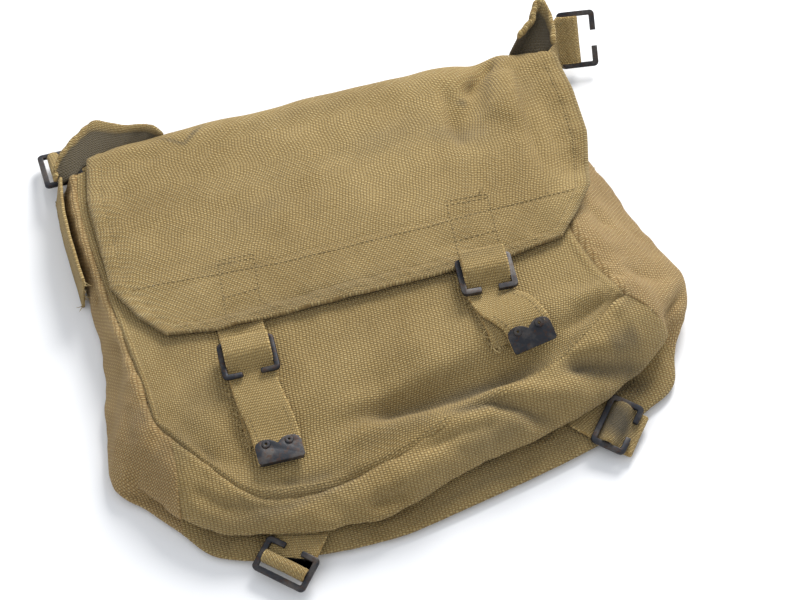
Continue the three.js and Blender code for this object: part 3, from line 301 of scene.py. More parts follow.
flapFolds = [
    ([(101, 144), (94, 138), (80, 123), (69, 111)], -4.6, 4.2),
    ([(63, 130), (61, 122), (59, 105), (58, 66)], -3.8, 4.5),
    ([(111, 144), (108, 135), (107, 113), (101, 58), (102, 30)], -3.4, 5.0),
    ([(88, 140), (72, 124), (66, 100)], 1.0, 5.0), ([(100, 136), (90, 110), (82, 84)], 2.6, 6.5),
    ([(-150, 128), (-120, 116)], -0.8, 4.0), ([(-160, 100), (-150, 60)], 0.6, 7.0),
    ([(-118, -6), (-40, -9)], -0.7, 5.0), ([(0, -2), (60, 4)], -0.6, 5.0),
    ([(-60, 100), (30, 118)], 0.6, 9.0),
    ([(-120, 60), (-60, 70), (0, 62)], -0.5, 9.0), ([(-30, 90), (20, 80)], -0.6, 8.0),
]


def linkPiece(name, mesh, material):
    piece = bpy.data.objects.new(name, mesh)
    bpy.context.scene.collection.objects.link(piece)
    if material:
        piece.data.materials.append(material)
    return piece


# A closed cloth of points on its middle: half is half its thickness at each point, its rims round
def thickSheet(name, grid, half, material, dirtAndShade=None, flip=False, rim=3, tilt=None):
    if flip:
        grid = grid[:, ::-1]
        half = half[:, ::-1] if np.ndim(half) else half
        dirtAndShade = dirtAndShade[:, ::-1] if dirtAndShade is not None else None
    rows, cols = grid.shape[:2]
    half = np.broadcast_to(half, (rows, cols)).astype(float)
    n = gridNormals(grid)
    if tilt:    # a strip that turns a corner takes its weave straight over the plan
        u, v = grid[..., 0] + tilt[0] * grid[..., 2], grid[..., 1] + tilt[1] * grid[..., 2]
    else:
        u, v = lengths(grid, 1), lengths(grid, 0)
    ring = [(0, c) for c in range(cols)] + [(r, cols - 1) for r in range(1, rows)]
    ring += [(rows - 1, c) for c in range(cols - 2, -1, -1)] + [(r, 0) for r in range(rows - 2, 0, -1)]
    rr, cc = np.array(ring).T
    inner = grid[np.clip(rr, 1, rows - 2), np.clip(cc, 1, cols - 2)]
    out = grid[rr, cc] - inner
    out -= n[rr, cc] * np.sum(out * n[rr, cc], axis=1, keepdims=True)
    out /= np.maximum(1e-9, np.linalg.norm(out, axis=1, keepdims=True))
    layers = [grid + n * half[..., None], grid - n * half[..., None]]
    verts = [layers[0].reshape(-1, 3), layers[1].reshape(-1, 3)]
    size = rows * cols
    index = np.arange(size).reshape(rows, cols)
    quads = np.stack((index[:-1, :-1], index[1:, :-1], index[1:, 1:], index[:-1, 1:]), -1).reshape(-1, 4)
    faces = [quads, quads[:, ::-1] + size]
    around = rr * cols + cc
    lines = [around]
    for k in range(1, rim + 1):
        angle = math.pi * k / (rim + 1)
        h = half[rr, cc][:, None]
        verts.append(grid[rr, cc] + n[rr, cc] * h * math.cos(angle) + out * h * 0.9 * math.sin(angle))
        lines.append(2 * size + (k - 1) * len(ring) + np.arange(len(ring)))
    lines.append(around + size)
    for a, b in zip(lines[:-1], lines[1:]):
        faces.append(np.stack((a, np.roll(a, -1), np.roll(b, -1), b), -1))
    verts = np.concatenate(verts)
    faces = np.concatenate(faces)
    mesh = bpy.data.meshes.new(name)
    mesh.from_pydata((verts * mm).tolist(), [], faces.tolist())
    source = np.concatenate([np.arange(size), np.arange(size)] + [around] * rim)
    uv = np.stack((u.reshape(-1), v.reshape(-1)), -1)[source] * 0.01
    layer = mesh.uv_layers.new(name="cloth")
    loops = np.empty(len(mesh.loops), int)
    mesh.loops.foreach_get("vertex_index", loops)
    layer.data.foreach_set("uv", uv[loops].reshape(-1))
    dirtAndShadeLayer = mesh.attributes.new("dirtAndShade", "FLOAT", "POINT")
    amount = np.zeros(size) if dirtAndShade is None else dirtAndShade.reshape(-1)
    dirtAndShadeLayer.data.foreach_set("value", amount[source].astype(np.float32))
    mesh.polygons.foreach_set("use_smooth", [True] * len(mesh.polygons))
    mesh.update()
    return linkPiece(name, mesh, material)


# Materials
# Nodes are name: (kind, settings, input values); links are (from, output, to, input), by name or number
def build(tree, nodes, links):
    made = {}
    for name, (kind, settings, values) in nodes.items():
        node = made[name] = tree.nodes.new(kind)
        for key, value in settings.items():
            setattr(node, key, value)
        for key, value in values.items():
            node.inputs[key].default_value = value
    for source, output, target, socket in links:
        tree.links.new(made[source].outputs[output], made[target].inputs[socket])
    return made


def newGroup(name, kind, inputs, outputs):
    group = bpy.data.node_groups.new(name, kind)
    for way, sockets in (("INPUT", inputs), ("OUTPUT", outputs)):
        for title, sort in sockets.items():
            group.interface.new_socket(title, in_out=way, socket_type="NodeSocket" + sort)
    return group


def calc(operation, second=0.0):
    return "ShaderNodeMath", {"operation": operation}, {1: second}


def spread(low, high, toLow=0.0, toHigh=1.0):
    return "ShaderNodeMapRange", {}, {"From Min": low, "From Max": high, "To Min": toLow, "To Max": toHigh}


def mixed(kind, first=None, second=None):
    given = {key: value for key, value in ((6, first), (7, second)) if value}
    return "ShaderNodeMix", {"data_type": "RGBA", "blend_type": kind}, given


groupEnds = {"start": ("NodeGroupInput", {}, {}), "end": ("NodeGroupOutput", {}, {})}

# Bumps of a coarse weave, each row half a step from the next, its threads a little uneven
weave = newGroup("clothWeave", "ShaderNodeTree", {"Vector": "Vector", "Across": "Float", "Along": "Float"},
                 {"Height": "Float", "Gaps": "Float"})
build(weave, {
    **groupEnds, "wander": ("ShaderNodeTexNoise", {}, {"Scale": 9.0, "Detail": 2.0}),
    "shift": ("ShaderNodeVectorMath", {"operation": "MULTIPLY"}, {1: (0.018, 0.018, 0)}),
    "moved": ("ShaderNodeVectorMath", {"operation": "ADD"}, {}), "parts": ("ShaderNodeSeparateXYZ", {}, {}),
    "acrossTurn": calc("MULTIPLY"), "across": calc("SINE"),
    "alongTurn": calc("MULTIPLY"), "along": calc("SINE"),
    "both": calc("MULTIPLY"), "overPart": calc("MAXIMUM"), "over": calc("POWER", 0.55),
    "other": calc("MULTIPLY", -1.0), "underPart": calc("MAXIMUM"), "underPower": calc("POWER", 0.6),
    "under": calc("MULTIPLY", 0.4), "height": calc("ADD"), "gaps": spread(0.05, 0.75, 1.0, 0.0),
}, [
    ("start", "Vector", "wander", "Vector"), ("wander", "Color", "shift", 0), ("start", "Vector", "moved", 0),
    ("shift", 0, "moved", 1), ("moved", 0, "parts", 0), ("parts", 0, "acrossTurn", 0),
    ("parts", 1, "alongTurn", 0),
    ("start", "Across", "acrossTurn", 1), ("start", "Along", "alongTurn", 1), ("acrossTurn", 0, "across", 0),
    ("alongTurn", 0, "along", 0), ("across", 0, "both", 0), ("along", 0, "both", 1),
    ("both", 0, "overPart", 0),
    ("overPart", 0, "over", 0), ("both", 0, "other", 0), ("other", 0, "underPart", 0),
    ("underPart", 0, "underPower", 0), ("underPower", 0, "under", 0), ("over", 0, "height", 0),
    ("under", 0, "height", 1), ("height", 0, "gaps", "Value"), ("height", 0, "end", "Height"),
    ("gaps", 0, "end", "Gaps"),
])

# Dirt and fading as soft noise, broad and fine; where the dirt and the painted fold shade lie comes from the
# piece's own attribute
soil = newGroup("soil", "ShaderNodeTree", {"Vector": "Vector", "Size": "Float"},
                {"Patches": "Float", "Fine": "Float"})
build(soil, {
    **groupEnds, "broad": ("ShaderNodeTexNoise", {}, {"Detail": 5.0, "Roughness": 0.6}),
    "fine": ("ShaderNodeTexNoise", {}, {"Scale": 420.0, "Detail": 4.0, "Roughness": 0.65}),
}, [
    ("start", "Vector", "broad", "Vector"), ("start", "Size", "broad", "Scale"),
    ("start", "Vector", "fine", "Vector"),
    ("broad", "Fac", "end", "Patches"), ("fine", "Fac", "end", "Fine"),
])


def newMaterial(name):
    material = bpy.data.materials.new(name)
    material.use_nodes = True
    return material, material.node_tree, material.node_tree.nodes["Principled BSDF"]


def clothMaterial(name, look):
    material, tree, shader = newMaterial(name)
    for key, value in (("Roughness", 0.95), ("Specular IOR Level", 0.2), ("Sheen Weight", look["sheen"]),
                       ("Sheen Roughness", 0.5)):
        shader.inputs[key].default_value = value
    # The piece's own attribute darkens the cloth toward the soil colour, for its dirt and for the painted
    # shade in its folds
    made = build(tree, {
        "uv": ("ShaderNodeUVMap", {"uv_map": "cloth"}, {}), "place": ("ShaderNodeTexCoord", {}, {}),
        "threads": ("ShaderNodeGroup", {"node_tree": weave}, {"Across": 100 * math.pi / look["acrossStep"],
                                                              "Along": 100 * math.pi / look["alongStep"]}),
        "marks": ("ShaderNodeGroup", {"node_tree": soil}, {"Size": look["patchSize"]}),
        "dirtAndShade": ("ShaderNodeAttribute", {"attribute_name": "dirtAndShade"}, {}), "patches": spread(0.35, 0.68),
        "base": mixed("MIX", look["dark"], look["light"]), "fine": spread(0.3, 0.75),
        "fineShare": calc("MULTIPLY", 0.35),
        "paler": mixed("MIX", second=look["pale"]), "gapShare": calc("MULTIPLY", look["gapShade"]),
        "woven": mixed("MULTIPLY", second=look["gapColour"]),
        "broken": ("ShaderNodeMath", {"operation": "MULTIPLY_ADD"}, {1: 1.6, 2: -0.2}),
        "amount": ("ShaderNodeMath", {"operation": "MULTIPLY", "use_clamp": True}, {}),
        "soiledAndShaded": mixed("MIX", second=look["soil"]),
        "height": ("ShaderNodeMath", {"operation": "MULTIPLY_ADD"}, {1: 0.25}),
        "bump": ("ShaderNodeBump", {}, {"Strength": look["relief"], "Distance": look["depth"]}),
    }, [
        ("uv", 0, "threads", "Vector"), ("place", "Object", "marks", "Vector"),
        ("marks", "Patches", "patches", "Value"),
        ("patches", 0, "base", 0), ("marks", "Fine", "fine", "Value"), ("fine", 0, "fineShare", 0),
        ("fineShare", 0, "paler", 0), ("base", 2, "paler", 6), ("threads", "Gaps", "gapShare", 0),
        ("gapShare", 0, "woven", 0), ("paler", 2, "woven", 6), ("marks", "Patches", "broken", 0),
        ("broken", 0, "amount", 0), ("dirtAndShade", "Fac", "amount", 1), ("amount", 0, "soiledAndShaded", 0),
        ("woven", 2, "soiledAndShaded", 6),
        ("fine", 0, "height", 0), ("threads", "Height", "height", 2), ("height", 0, "bump", "Height"),
    ])
    tree.links.new(made["soiledAndShaded"].outputs[2], shader.inputs["Base Color"])
    tree.links.new(made["bump"].outputs[0], shader.inputs["Normal"])
    return material


# The soil colour serves for the dirt and also for the painted shade in the valleys of the folds
canvasLook = {
    "acrossStep": 1.9, "alongStep": 1.3, "patchSize": 16, "sheen": 0.1, "relief": 1.0, "depth": 0.0011,
    "dark": (0.395, 0.280, 0.105, 1), "light": (0.550, 0.410, 0.175, 1), "pale": (0.66, 0.52, 0.26, 1),
    "gapShade": 0.85, "gapColour": (0.42, 0.33, 0.22, 1), "soil": (0.122, 0.098, 0.060, 1),
}
canvasCloth = clothMaterial("canvasCloth", canvasLook)
# The side gussets' copy of the canvas, painted a little lighter than the front's to offset the shade that
# falls on them
shadedCloth = clothMaterial("shadedCloth", dict(canvasLook, dark=(0.415, 0.280, 0.112, 1),
                                                light=(0.580, 0.415, 0.185, 1), pale=(0.68, 0.51, 0.27, 1)))
webCloth = clothMaterial("webCloth", dict(canvasLook, acrossStep=0.95, alongStep=1.6, patchSize=22,
                                          light=(0.65, 0.48, 0.20, 1), dark=(0.50, 0.36, 0.14, 1)))


def steelMaterial():
    look = {"paint": (0.020, 0.022, 0.028, 1), "worn": (0.075, 0.066, 0.060, 1),
            "rust": (0.060, 0.026, 0.013, 1)}
    material, tree, shader = newMaterial("wornSteel")
    shader.inputs["Metallic"].default_value = 0.55
    made = build(tree, {
        "place": ("ShaderNodeTexCoord", {}, {}),
        "marks": ("ShaderNodeGroup", {"node_tree": soil}, {"Size": 90}), "wear": spread(0.45, 0.62),
        "base": mixed("MIX", look["paint"], look["worn"]), "rust": spread(0.52, 0.66),
        "rustShare": calc("MULTIPLY", 0.7), "rusted": mixed("MIX", second=look["rust"]),
        "rough": ("ShaderNodeMapRange", {}, {"To Min": 0.34, "To Max": 0.62}),
        "bump": ("ShaderNodeBump", {}, {"Strength": 0.35, "Distance": 0.0002}),
    }, [
        ("place", "Object", "marks", "Vector"), ("marks", "Patches", "wear", "Value"), ("wear", 0, "base", 0),
        ("marks", "Fine", "rust", "Value"), ("rust", 0, "rustShare", 0), ("rustShare", 0, "rusted", 0),
        ("base", 2, "rusted", 6), ("marks", "Fine", "rough", "Value"), ("marks", "Fine", "bump", "Height"),
    ])
    ends = (("rusted", 2, "Base Color"), ("rough", 0, "Roughness"), ("bump", 0, "Normal"))
    for source, output, socket in ends:
        tree.links.new(made[source].outputs[output], shader.inputs[socket])
    return material


wornSteel = steelMaterial()
threadLook = dict(canvasLook, acrossStep=0.4, relief=0.3, gapShade=0.2)
threadCloth = clothMaterial("stitchThread", dict(threadLook, dark=(0.33, 0.24, 0.10, 1),
                                                 light=(0.46, 0.35, 0.17, 1)))
seamThread = clothMaterial("seamThread", dict(threadLook, dark=(0.23, 0.165, 0.070, 1),
                                              light=(0.33, 0.245, 0.115, 1), pale=(0.34, 0.27, 0.14, 1)))
print("materials made")


# Dirt on the cloths, and painted shade in the valleys of their folds
stains = [  # x, y, reach along, reach across, turn, strength
    (-70, 60, 26, 10, 20, 0.25), (20, 95, 30, 12, 10, 0.30), (60, 84, 10, 20, 70, 0.55),
    (-60, -12, 70, 7, 3, 0.50), (30, -14, 50, 6, 3, 0.40), (-97, -128, 52, 12, 8, 0.55),
    (-130, -60, 22, 14, 40, 0.3), (-20, -56, 12, 8, 0, 0.16), (-30, -38, 24, 8, 10, 0.2),
    (-150, -85, 16, 9, 70, 0.55), (120, -60, 12, 6, 60, 0.4), (110, 110, 8, 16, 0, 0.35),
    (-172, -60, 8, 16, 0, 0.35), (118, -97, 9, 6, 10, 0.9), (30, -118, 34, 8, 12, 0.45),
    (97, -121, 13, 11, 50, 1.6), (-166, -62, 9, 7, 50, 0.6), (-158, -87, 8, 4, 0, 0.6),
    (-105, 25, 16, 4, 0, 0.25), (-20, 130, 60, 8, 4, 0.22), (68, 110, 3, 3, 0, 0.8),
]
shadeAndDirtPaths = [  # darker paths, most of them painted shade in the valleys of the folds: path, half width, strength
    ([(-137, -137), (-119, -134), (-98, -134), (-75, -129), (-46, -125)], 5.0, 0.85),
    ([(-105, -119), (-84, -121), (-62, -119)], 4.0, 0.8), ([(-60, -112), (-30, -104), (0, -100)], 5.0, 0.5),
    ([(66, -90), (102, -95), (128, -94)], 5.5, 1.1),
    ([(-64, -92), (-8, -90), (36, -88), (74, -78)], 5.0, 1.0),
    ([(-6, -101), (27, -102), (50, -114), (70, -118)], 4.0, 1.0),
    ([(98, -86), (124, -80)], 7.0, 0.8), ([(-154, -76), (-136, -90), (-128, -106)], 3.0, 0.5),
    ([(-125, 137), (-119, 134), (-105, 124), (-95, 134), (-87, 142)], 1.2, 1.3),
    ([(-60, -150), (0, -140), (60, -124), (110, -100)], 4.0, 0.35),
]


def dirtAndShadeOn(points, extra=0.0):
    x, y = points[..., 0], points[..., 1]
    total = 0 * x + extra
    for cx, cy, along, across, turn, strength in stains:
        c, s = math.cos(math.radians(turn)), math.sin(math.radians(turn))
        a, b = (x - cx) * c + (y - cy) * s, -(x - cx) * s + (y - cy) * c
        total = np.maximum(total, strength * np.exp(-(a / along) ** 2 - (b / across) ** 2))
    for path, wide, strength in shadeAndDirtPaths:
        total = np.maximum(total, strength * pathHeight(x, y, path, wide))
    return np.clip(total, 0, 2)


# The cloths
cloth = {"acrossCells": 190, "downCells": 60, "profileCells": 46,
         "turnCells": 26, "flapCells": 96, "backCells": 24}

frontFolds = [
    ([(-140, -62), (-120, -92)], 1.2, 6.0), ([(-152, -58), (-134, -96)], -1.2, 4.5),
    ([(86, -40), (108, -48)], -0.8, 5.0), ([(-75, -40), (-60, -80)], 0.7, 9.0),
    ([(0, -45), (20, -75)], -0.6, 9.0),
    ([(-150, -20), (-136, -50)], -0.7, 6.0), ([(-50, -30), (0, -36), (24, -34)], -0.5, 6.0),
]


# A cloth or web stands for its node and rides on the root; its sizes are given in mm
def handOver(piece, node, slot, width, length, area=None):
    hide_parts(node)
    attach(piece, "root")


clothFlat = {  # width, length and area before sewing, in mm and square mm
    "backAndFlapCloth": (286, 436, 119600), "frontCloth": (296, 220, 63000),
    "leftGussetCloth": (96, 250, 16800),
    "bottomCloth": (122, 322, 36000), "rightGussetCloth": (104, 210, 16900),
    "earLeftCloth": (22, 70, 1050), "earRightCloth": (27, 39, 760),
}


def edgeFade(distance, reach):
    return np.exp(-(distance / reach) ** 2)


def backAndFlap():
    u = np.linspace(0, 1, cloth["acrossCells"] + 1)
    c = backCorners
    rows = []
    for v in np.linspace(0, 1, cloth["backCells"] + 1):
        left = c["bottomLeft"] + (c["topLeft"] - c["bottomLeft"]) * v
        right = c["bottomRight"] + (c["topRight"] - c["bottomRight"]) * v
        rows.append(left + (right - left) * u[:, None])
    reach = np.interp(u, turnReach[:, 0], turnReach[:, 1]) * bag["height"]
    backTop, flapTop = rows[-1], flapPoints(0 * u, u)
    for turn in np.linspace(0, 1, cloth["turnCells"] + 1)[1:-1]:
        p = backTop + (flapTop - backTop) * (1 - math.cos(math.pi * turn)) / 2
        p[:, 1] += reach * math.sin(math.pi * turn)
        rows.append(p)
    turnFrom = len(rows)
    for t in np.linspace(0, 1, cloth["flapCells"] + 1):
        rows.append(flapPoints(0 * u + t, u))
    grid = np.array(rows)
    n = gridNormals(grid)
    x, y = grid[..., 0], grid[..., 1]
    top = np.clip((grid[..., 2] - 12) / 10, 0, 1) * (n[..., 2] > 0.1)
    lift = relief(grid, flapFolds) + 0.45 * waves(x, y, 52, 3) + 0.2 * waves(x, y, 19, 4)
    across, down = lengths(grid, 1), lengths(grid, 0)
    side, hang = np.minimum(across, across[:, -1:] - across), down[-1:] - down
    hem = np.minimum(side, hang)
    pucker = 0.22 * np.sin(down / 2.1) * edgeFade(side - 7, 4)
    pucker += 0.22 * np.sin(across / 2.1) * edgeFade(hang - 7, 4)
    lift += 0.5 * waves(x, y, 24, 5) * edgeFade(hem, 14) + pucker
    lift -= 0.45 * edgeFade(hem - 8, 1.3)
    facing = np.abs(hang - 38)
    lift -= 0.35 * edgeFade(facing, 1.2) * (side > 4)
    grid = grid + n * (lift * top)[..., None]
    half = clothHalf + 0.45 * np.clip((9 - hem) / 1.5, 0, 1) * (top > 0.5)
    dirtAndShade = dirtAndShadeOn(grid, 0.04) * (top > 0)
    dirtAndShade = np.maximum(dirtAndShade, 0.5 * edgeFade(hem, 1.6) * (top > 0.3))
    piece = thickSheet("backAndFlapCloth", grid, half, canvasCloth, dirtAndShade, flip=True)
    return piece, grid, turnFrom


# The seam is hardly seen where the front runs over the bottom's roll
def seamShown(x, y):
    return 1 - 0.85 * np.clip((x + 60) / 40, 0, 1) * np.clip((112 - x) / 14, 0, 1) * (y < -40)


# A groove at a seam, a low roll beside it and small puckers along it
def seamFold(grid, away, run, rise, gather):
    roll = rise * edgeFade(away - 4.2, 2.4) - 1.3 * edgeFade(away, 1.7)
    pucker = gather * np.sin(run / 1.9) * edgeFade(away - 5, 3.5)
    return (roll + pucker) * seamShown(grid[..., 0], grid[..., 1])


gussetCreases = {
    "left": [
        (-176, 60, 20, -178, 0, 18, -1.2, 4), (-172, -10, 24, -180, -50, 16, -1.6, 5),
        (-166, -40, 26, -184, -74, 14, 1.5, 6), (-170, -66, 22, -160, -100, 18, -1.8, 5),
        (-180, 28, 14, -176, 36, 22, -1.8, 3), (-160, -84, 20, -150, -116, 14, 1.2, 5),
        (-176, -84, 14, -152, -92, 20, -1.6, 3), (-179, -20, 12, -178, -34, 20, -1.0, 4),
        (-184, -95, 9, -154, -116, 9, -4.5, 3.2), (-182, 14, 14, -161, -18, 25, -2.4, 4.5),
        (-170, -30, 24, -176, -62, 20, 1.2, 7),
    ],
    "right": [
        (118, 20, 38, 132, -4, 30, -1.8, 4), (112, -20, 40, 134, -14, 32, 1.2, 6),
        (116, -44, 40, 146, -34, 26, -1.6, 5), (134, -60, 30, 158, -36, 18, 1.4, 6),
        (126, 60, 34, 140, 20, 26, -1.0, 5), (112, 90, 38, 124, 60, 32, -1.0, 4),
        (140, 10, 22, 150, -20, 18, -1.2, 5), (124, 30, 34, 136, 4, 28, 0.9, 5),
        (141, -72, 24, 163, -48, 20, -4.5, 4.0), (138, -62, 30, 160, -42, 24, 1.6, 4.5),
        (143, -70, 24, 139, -88, 16, -3.0, 3.5), (126, -34, 38, 150, -46, 28, -1.4, 4.5),
    ],
    "bottom": [
        (-90, -132, 20, -60, -140, 16, -1.2, 5), (-40, -128, 22, 0, -122, 22, 0.9, 5),
        (-20, -128, 20, 20, -118, 20, -1.2, 3), (40, -106, 24, 80, -100, 20, -1.0, 4),
        (96, -84, 26, 124, -86, 20, -1.4, 4), (-130, -112, 22, -110, -132, 16, 1.2, 5),
        (110, -72, 32, 130, -84, 22, 1.2, 5), (60, -112, 16, 90, -104, 14, 0.8, 4),
    ],
}


weaveTilt = {"left": (0.9, 0), "right": (-0.9, 0), "bottom": (0, 0.9)}
flatSpots = [(-98, -70, 22, 42), (50, -35, 24, 40)]  # under the straps: x, y, half width, half height


def gusset(name, side, placeFrom, placeTo, cells, material, seed):
    places = np.linspace(placeFrom, placeTo, cells + 1)
    grid = np.array([stripLine(place, cloth["profileCells"]) for place in places])
    n = -gridNormals(grid)
    off = np.clip((grid[..., 2] - 2.0) / 4, 0, 1)   # nothing is lifted where the strip meets the table
    lift = creases(grid, gussetCreases[side])
    lift += seamFold(grid, lengths(grid, 1), lengths(grid, 0), 0.9, 0.25)
    lift += relief(grid, lowerFolds) * np.clip((n[..., 2] + 0.1) / 0.5, 0, 1)
    x, y, z = grid[..., 0], grid[..., 1], grid[..., 2]
    lift += 0.5 * waves(x + z, y, 30, seed) + 0.2 * waves(x, y + z, 12, seed + 1)
    grid = grid + n * (lift * off)[..., None]
    grid[..., 2] = np.maximum(grid[..., 2], clothHalf)
    # Darker within 9 mm of the table, on top of the dirt and the painted fold shade
    dirtAndShade = np.clip(dirtAndShadeOn(grid, 0.06) + 0.35 * np.clip((9 - grid[..., 2]) / 9, 0, 1), 0, 1)
    return thickSheet(name, grid, clothHalf, material, dirtAndShade, flip=True, tilt=weaveTilt[side])


def frontPanel():
    down = cloth["downCells"]
    left = np.array([stripLine(p, 1)[0] for p in np.linspace(0, frontTurn, down + 1)])
    bottom = np.array([stripLine(p, 1)[0]
                       for p in np.linspace(frontTurn, rightEnd, cloth["acrossCells"] + 1)])
    right = np.array([stripLine(p, 1)[0] for p in np.linspace(lastSection, rightEnd, down + 1)])
    share = (bottom[:, 0] - bottom[0, 0]) / (bottom[-1, 0] - bottom[0, 0])
    top = left[0] + (right[0] - left[0]) * share[:, None]
    v = np.linspace(0, 1, down + 1)[:, None]
    u = share[None, :]
    grid = np.zeros((down + 1, len(share), 3))
    for axis in (0, 1):
        corners = (top[0, axis] * (1 - v) + bottom[0, axis] * v) * (1 - u)
        corners = corners + (top[-1, axis] * (1 - v) + bottom[-1, axis] * v) * u
        grid[..., axis] = top[None, :, axis] * (1 - v) + bottom[None, :, axis] * v
        grid[..., axis] += left[:, None, axis] * (1 - u) + right[:, None, axis] * u - corners
    grid[..., 2] = frontHeight(grid[..., 0], grid[..., 1])
    n = gridNormals(grid)
    n = n * np.sign(n[..., 2:3])
    across, hang = lengths(grid, 1), lengths(grid, 0)
    away = np.minimum(np.minimum(across, across[:, -1:] - across), hang[-1:] - hang)
    x, y = grid[..., 0], grid[..., 1]
    lift = relief(grid, lowerFolds + frontFolds) + 0.45 * waves(x, y, 44, 8)
    lift += 0.2 * waves(x, y, 17, 9)
    lift += seamFold(grid, away, across, 1, 0.2)
    near = 0
    for spotX, spotY, wide, high in flatSpots:
        near = np.maximum(near, np.exp(-((x - spotX) / wide) ** 6 - ((y - spotY) / high) ** 6))
    lift *= 1 - 0.85 * near
    under = np.clip((10 - y) / 12, 0, 1)    # the folds are lower under the flap
    grid = grid + n * (lift * (0.25 + 0.75 * under))[..., None]
    return thickSheet("frontCloth", grid, clothHalf, canvasCloth, dirtAndShadeOn(grid, 0.05)), grid


flapPiece, flapGrid, flapFrom = backAndFlap()   # flapFrom: the grid's row where the turn meets the flap
frontPiece, frontGrid = frontPanel()
leftPiece = gusset("leftGussetCloth", "left", 0, leftEnd, 150, shadedCloth, 21)
bottomPiece = gusset("bottomCloth", "bottom", leftEnd, rightEnd, 230, canvasCloth, 31)
rightPiece = gusset("rightGussetCloth", "right", rightEnd, lastSection, 150, shadedCloth, 41)
print("cloths made")


# Hard pieces: copies of the frame's own, their edges rounded
def hardCopy(name, node, width, material):
    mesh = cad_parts[node].data.copy()
    work = bmesh.new()
    work.from_mesh(mesh)
    bmesh.ops.remove_doubles(work, verts=work.verts, dist=1e-5)
    bmesh.ops.dissolve_limit(work, angle_limit=math.radians(2), verts=work.verts, edges=work.edges)
    work.to_mesh(mesh)
    work.free()
    mesh.materials.clear()
    piece = linkPiece(name, mesh, material)
    for polygon in mesh.polygons:
        polygon.use_smooth = True
    if width:
        edges = piece.modifiers.new("round", "BEVEL")
        edges.width = width * mm
        edges.segments = 3
        edges.limit_method = "ANGLE"
        edges.angle_limit = math.radians(38)
    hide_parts(node)
    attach(piece, "root")
    return piece


for node in ("front_buckle_left", "front_buckle_right", "top_buckle_left", "top_buckle_right",
             "bottom_buckle_left", "bottom_buckle_right"):
    words = node.split("_")
    hardCopy(words[0] + "Buckle" + words[2].title(), node, 1.15, wornSteel)
for side in ("left", "right"):
    hardCopy("strapTip" + side.title(), "strap_tip_" + side, 0.22, wornSteel)
    for i in ("1", "2"):
        hardCopy("tipRivet" + side.title() + i, "tip_rivet_" + side + "_" + i, 0.25, wornSteel)
print("metal made")


# Webbing
gapBetween = buckle["gap"]
loopMiddle = math.hypot(buckle["centre"], buckle["thick"]) / 2 + gapBetween + bag["webWall"] / 2
strapMiddle = loopMiddle + bag["webWall"] + gapBetween
closedInner = strapMiddle + bag["webWall"] / 2 + gapBetween
closedOuter = closedInner + buckle["bar"]
prongInner = buckle["centre"] / 2 + buckle["window"]
prongOuter = prongInner + buckle["bar"]
webUnderBar = buckle["thick"] / 2 + gapBetween + bag["webWall"] / 2
webShares = np.linspace(-0.5, 0.5, 11)
rowMiddle = slice(15, 18)   # the numbers of the point that spaces the rows of a web or an ear


# Axes of a hard piece: across, toward the closed bar, and up
class HardFrame:
    def __init__(self, origin, turn, climb, roll):
        yaw, lift = math.radians(turn), math.radians(climb)
        self.origin = Vector(origin)
        self.bar = Vector((math.cos(yaw) * math.cos(lift), math.sin(yaw) * math.cos(lift), math.sin(lift)))
        self.across = Quaternion(self.bar, math.radians(roll)) @ Vector((math.sin(yaw), -math.cos(yaw), 0))
        self.up = self.across.cross(self.bar)

    def at(self, a, v, w):
        return self.origin + self.across * a + self.bar * v + self.up * w

    def row(self, v, w, width):
        return np.array([self.at(s * width, v, w) for s in webShares])

    def arc(self, v, w, radius, start, end, width):
        steps = math.ceil(abs(end - start) / 18)
        angles = [math.radians(start + (end - start) * i / steps) for i in range(steps + 1)]
        return [self.row(v + radius * math.cos(a), w + radius * math.sin(a), width) for a in angles]


def planRow(middle, across, height, width):
    x = middle[0] + across[0] * webShares * width
    y = middle[1] + across[1] * webShares * width
    return np.stack((x, y, height(x, y)), -1)


def seatOnFront(x, y, turn, along, across, lift):
    yaw = math.radians(turn)
    height = lambda a, v: float(frontHeight(x + math.cos(yaw) * v + math.sin(yaw) * a,
                                            y + math.sin(yaw) * v - math.cos(yaw) * a))
    climb = math.degrees(math.atan2(height(0, along) - height(0, -along), 2 * along))
    roll = math.degrees(math.atan2(height(-across, 0) - height(across, 0), 2 * across))
    seat = HardFrame((x, y, height(0, 0) + lift), turn, climb, roll)
    deepest = 0
    for v in (-1, -0.5, 0, 0.5, 1):
        for a in (-1, -0.5, 0, 0.5, 1):
            p = seat.at(a * across, v * along, -lift)
            deepest = max(deepest, float(frontHeight(p.x, p.y)) - p.z)
    return HardFrame((x, y, height(0, 0) + lift + deepest), turn, climb, roll)


webFlat = {  # width and length of each web, in mm
    "flapStrapLeft": (25.4, 164), "flapStrapRight": (25.4, 142),
    "chapeWebLeft": (25.4, 67), "chapeWebRight": (25.4, 62),
    "topTabLeft": (25.4, 44), "topTabRight": (28.6, 112),
    "bottomTabLeft": (25.4, 34), "bottomTabRight": (25.4, 44),
    "sideWebLeft": (25.4, 80),
}


# A web through its rows, smooth along its length, with raised selvedges
def webPiece(name, rows, node, extraDirt=0.08, fine=5):
    rows = np.array(rows)
    count = (len(rows) - 1) * fine
    flat = rows.reshape(len(rows), -1)
    line = np.array([smoothCurve(flat, i / fine, rowMiddle, 1e-3) for i in range(count + 1)])
    grid = line.reshape(count + 1, len(webShares), 3)
    n = gridNormals(grid)
    ripple = 0.08 * np.sin(np.arange(count + 1)[:, None] * 0.7 + webShares[None, :] * 9)
    grid = grid + n * ripple[..., None]
    half = bag["webWall"] / 2 + 0.08 * (np.abs(webShares) > 0.42)[None, :] + np.zeros((count + 1, 1))
    dirtAndShade = dirtAndShadeOn(grid, extraDirt)
    piece = thickSheet(name, grid, half, webCloth, dirtAndShade)
    handOver(piece, node, "webbing", *webFlat[name])
    return grid


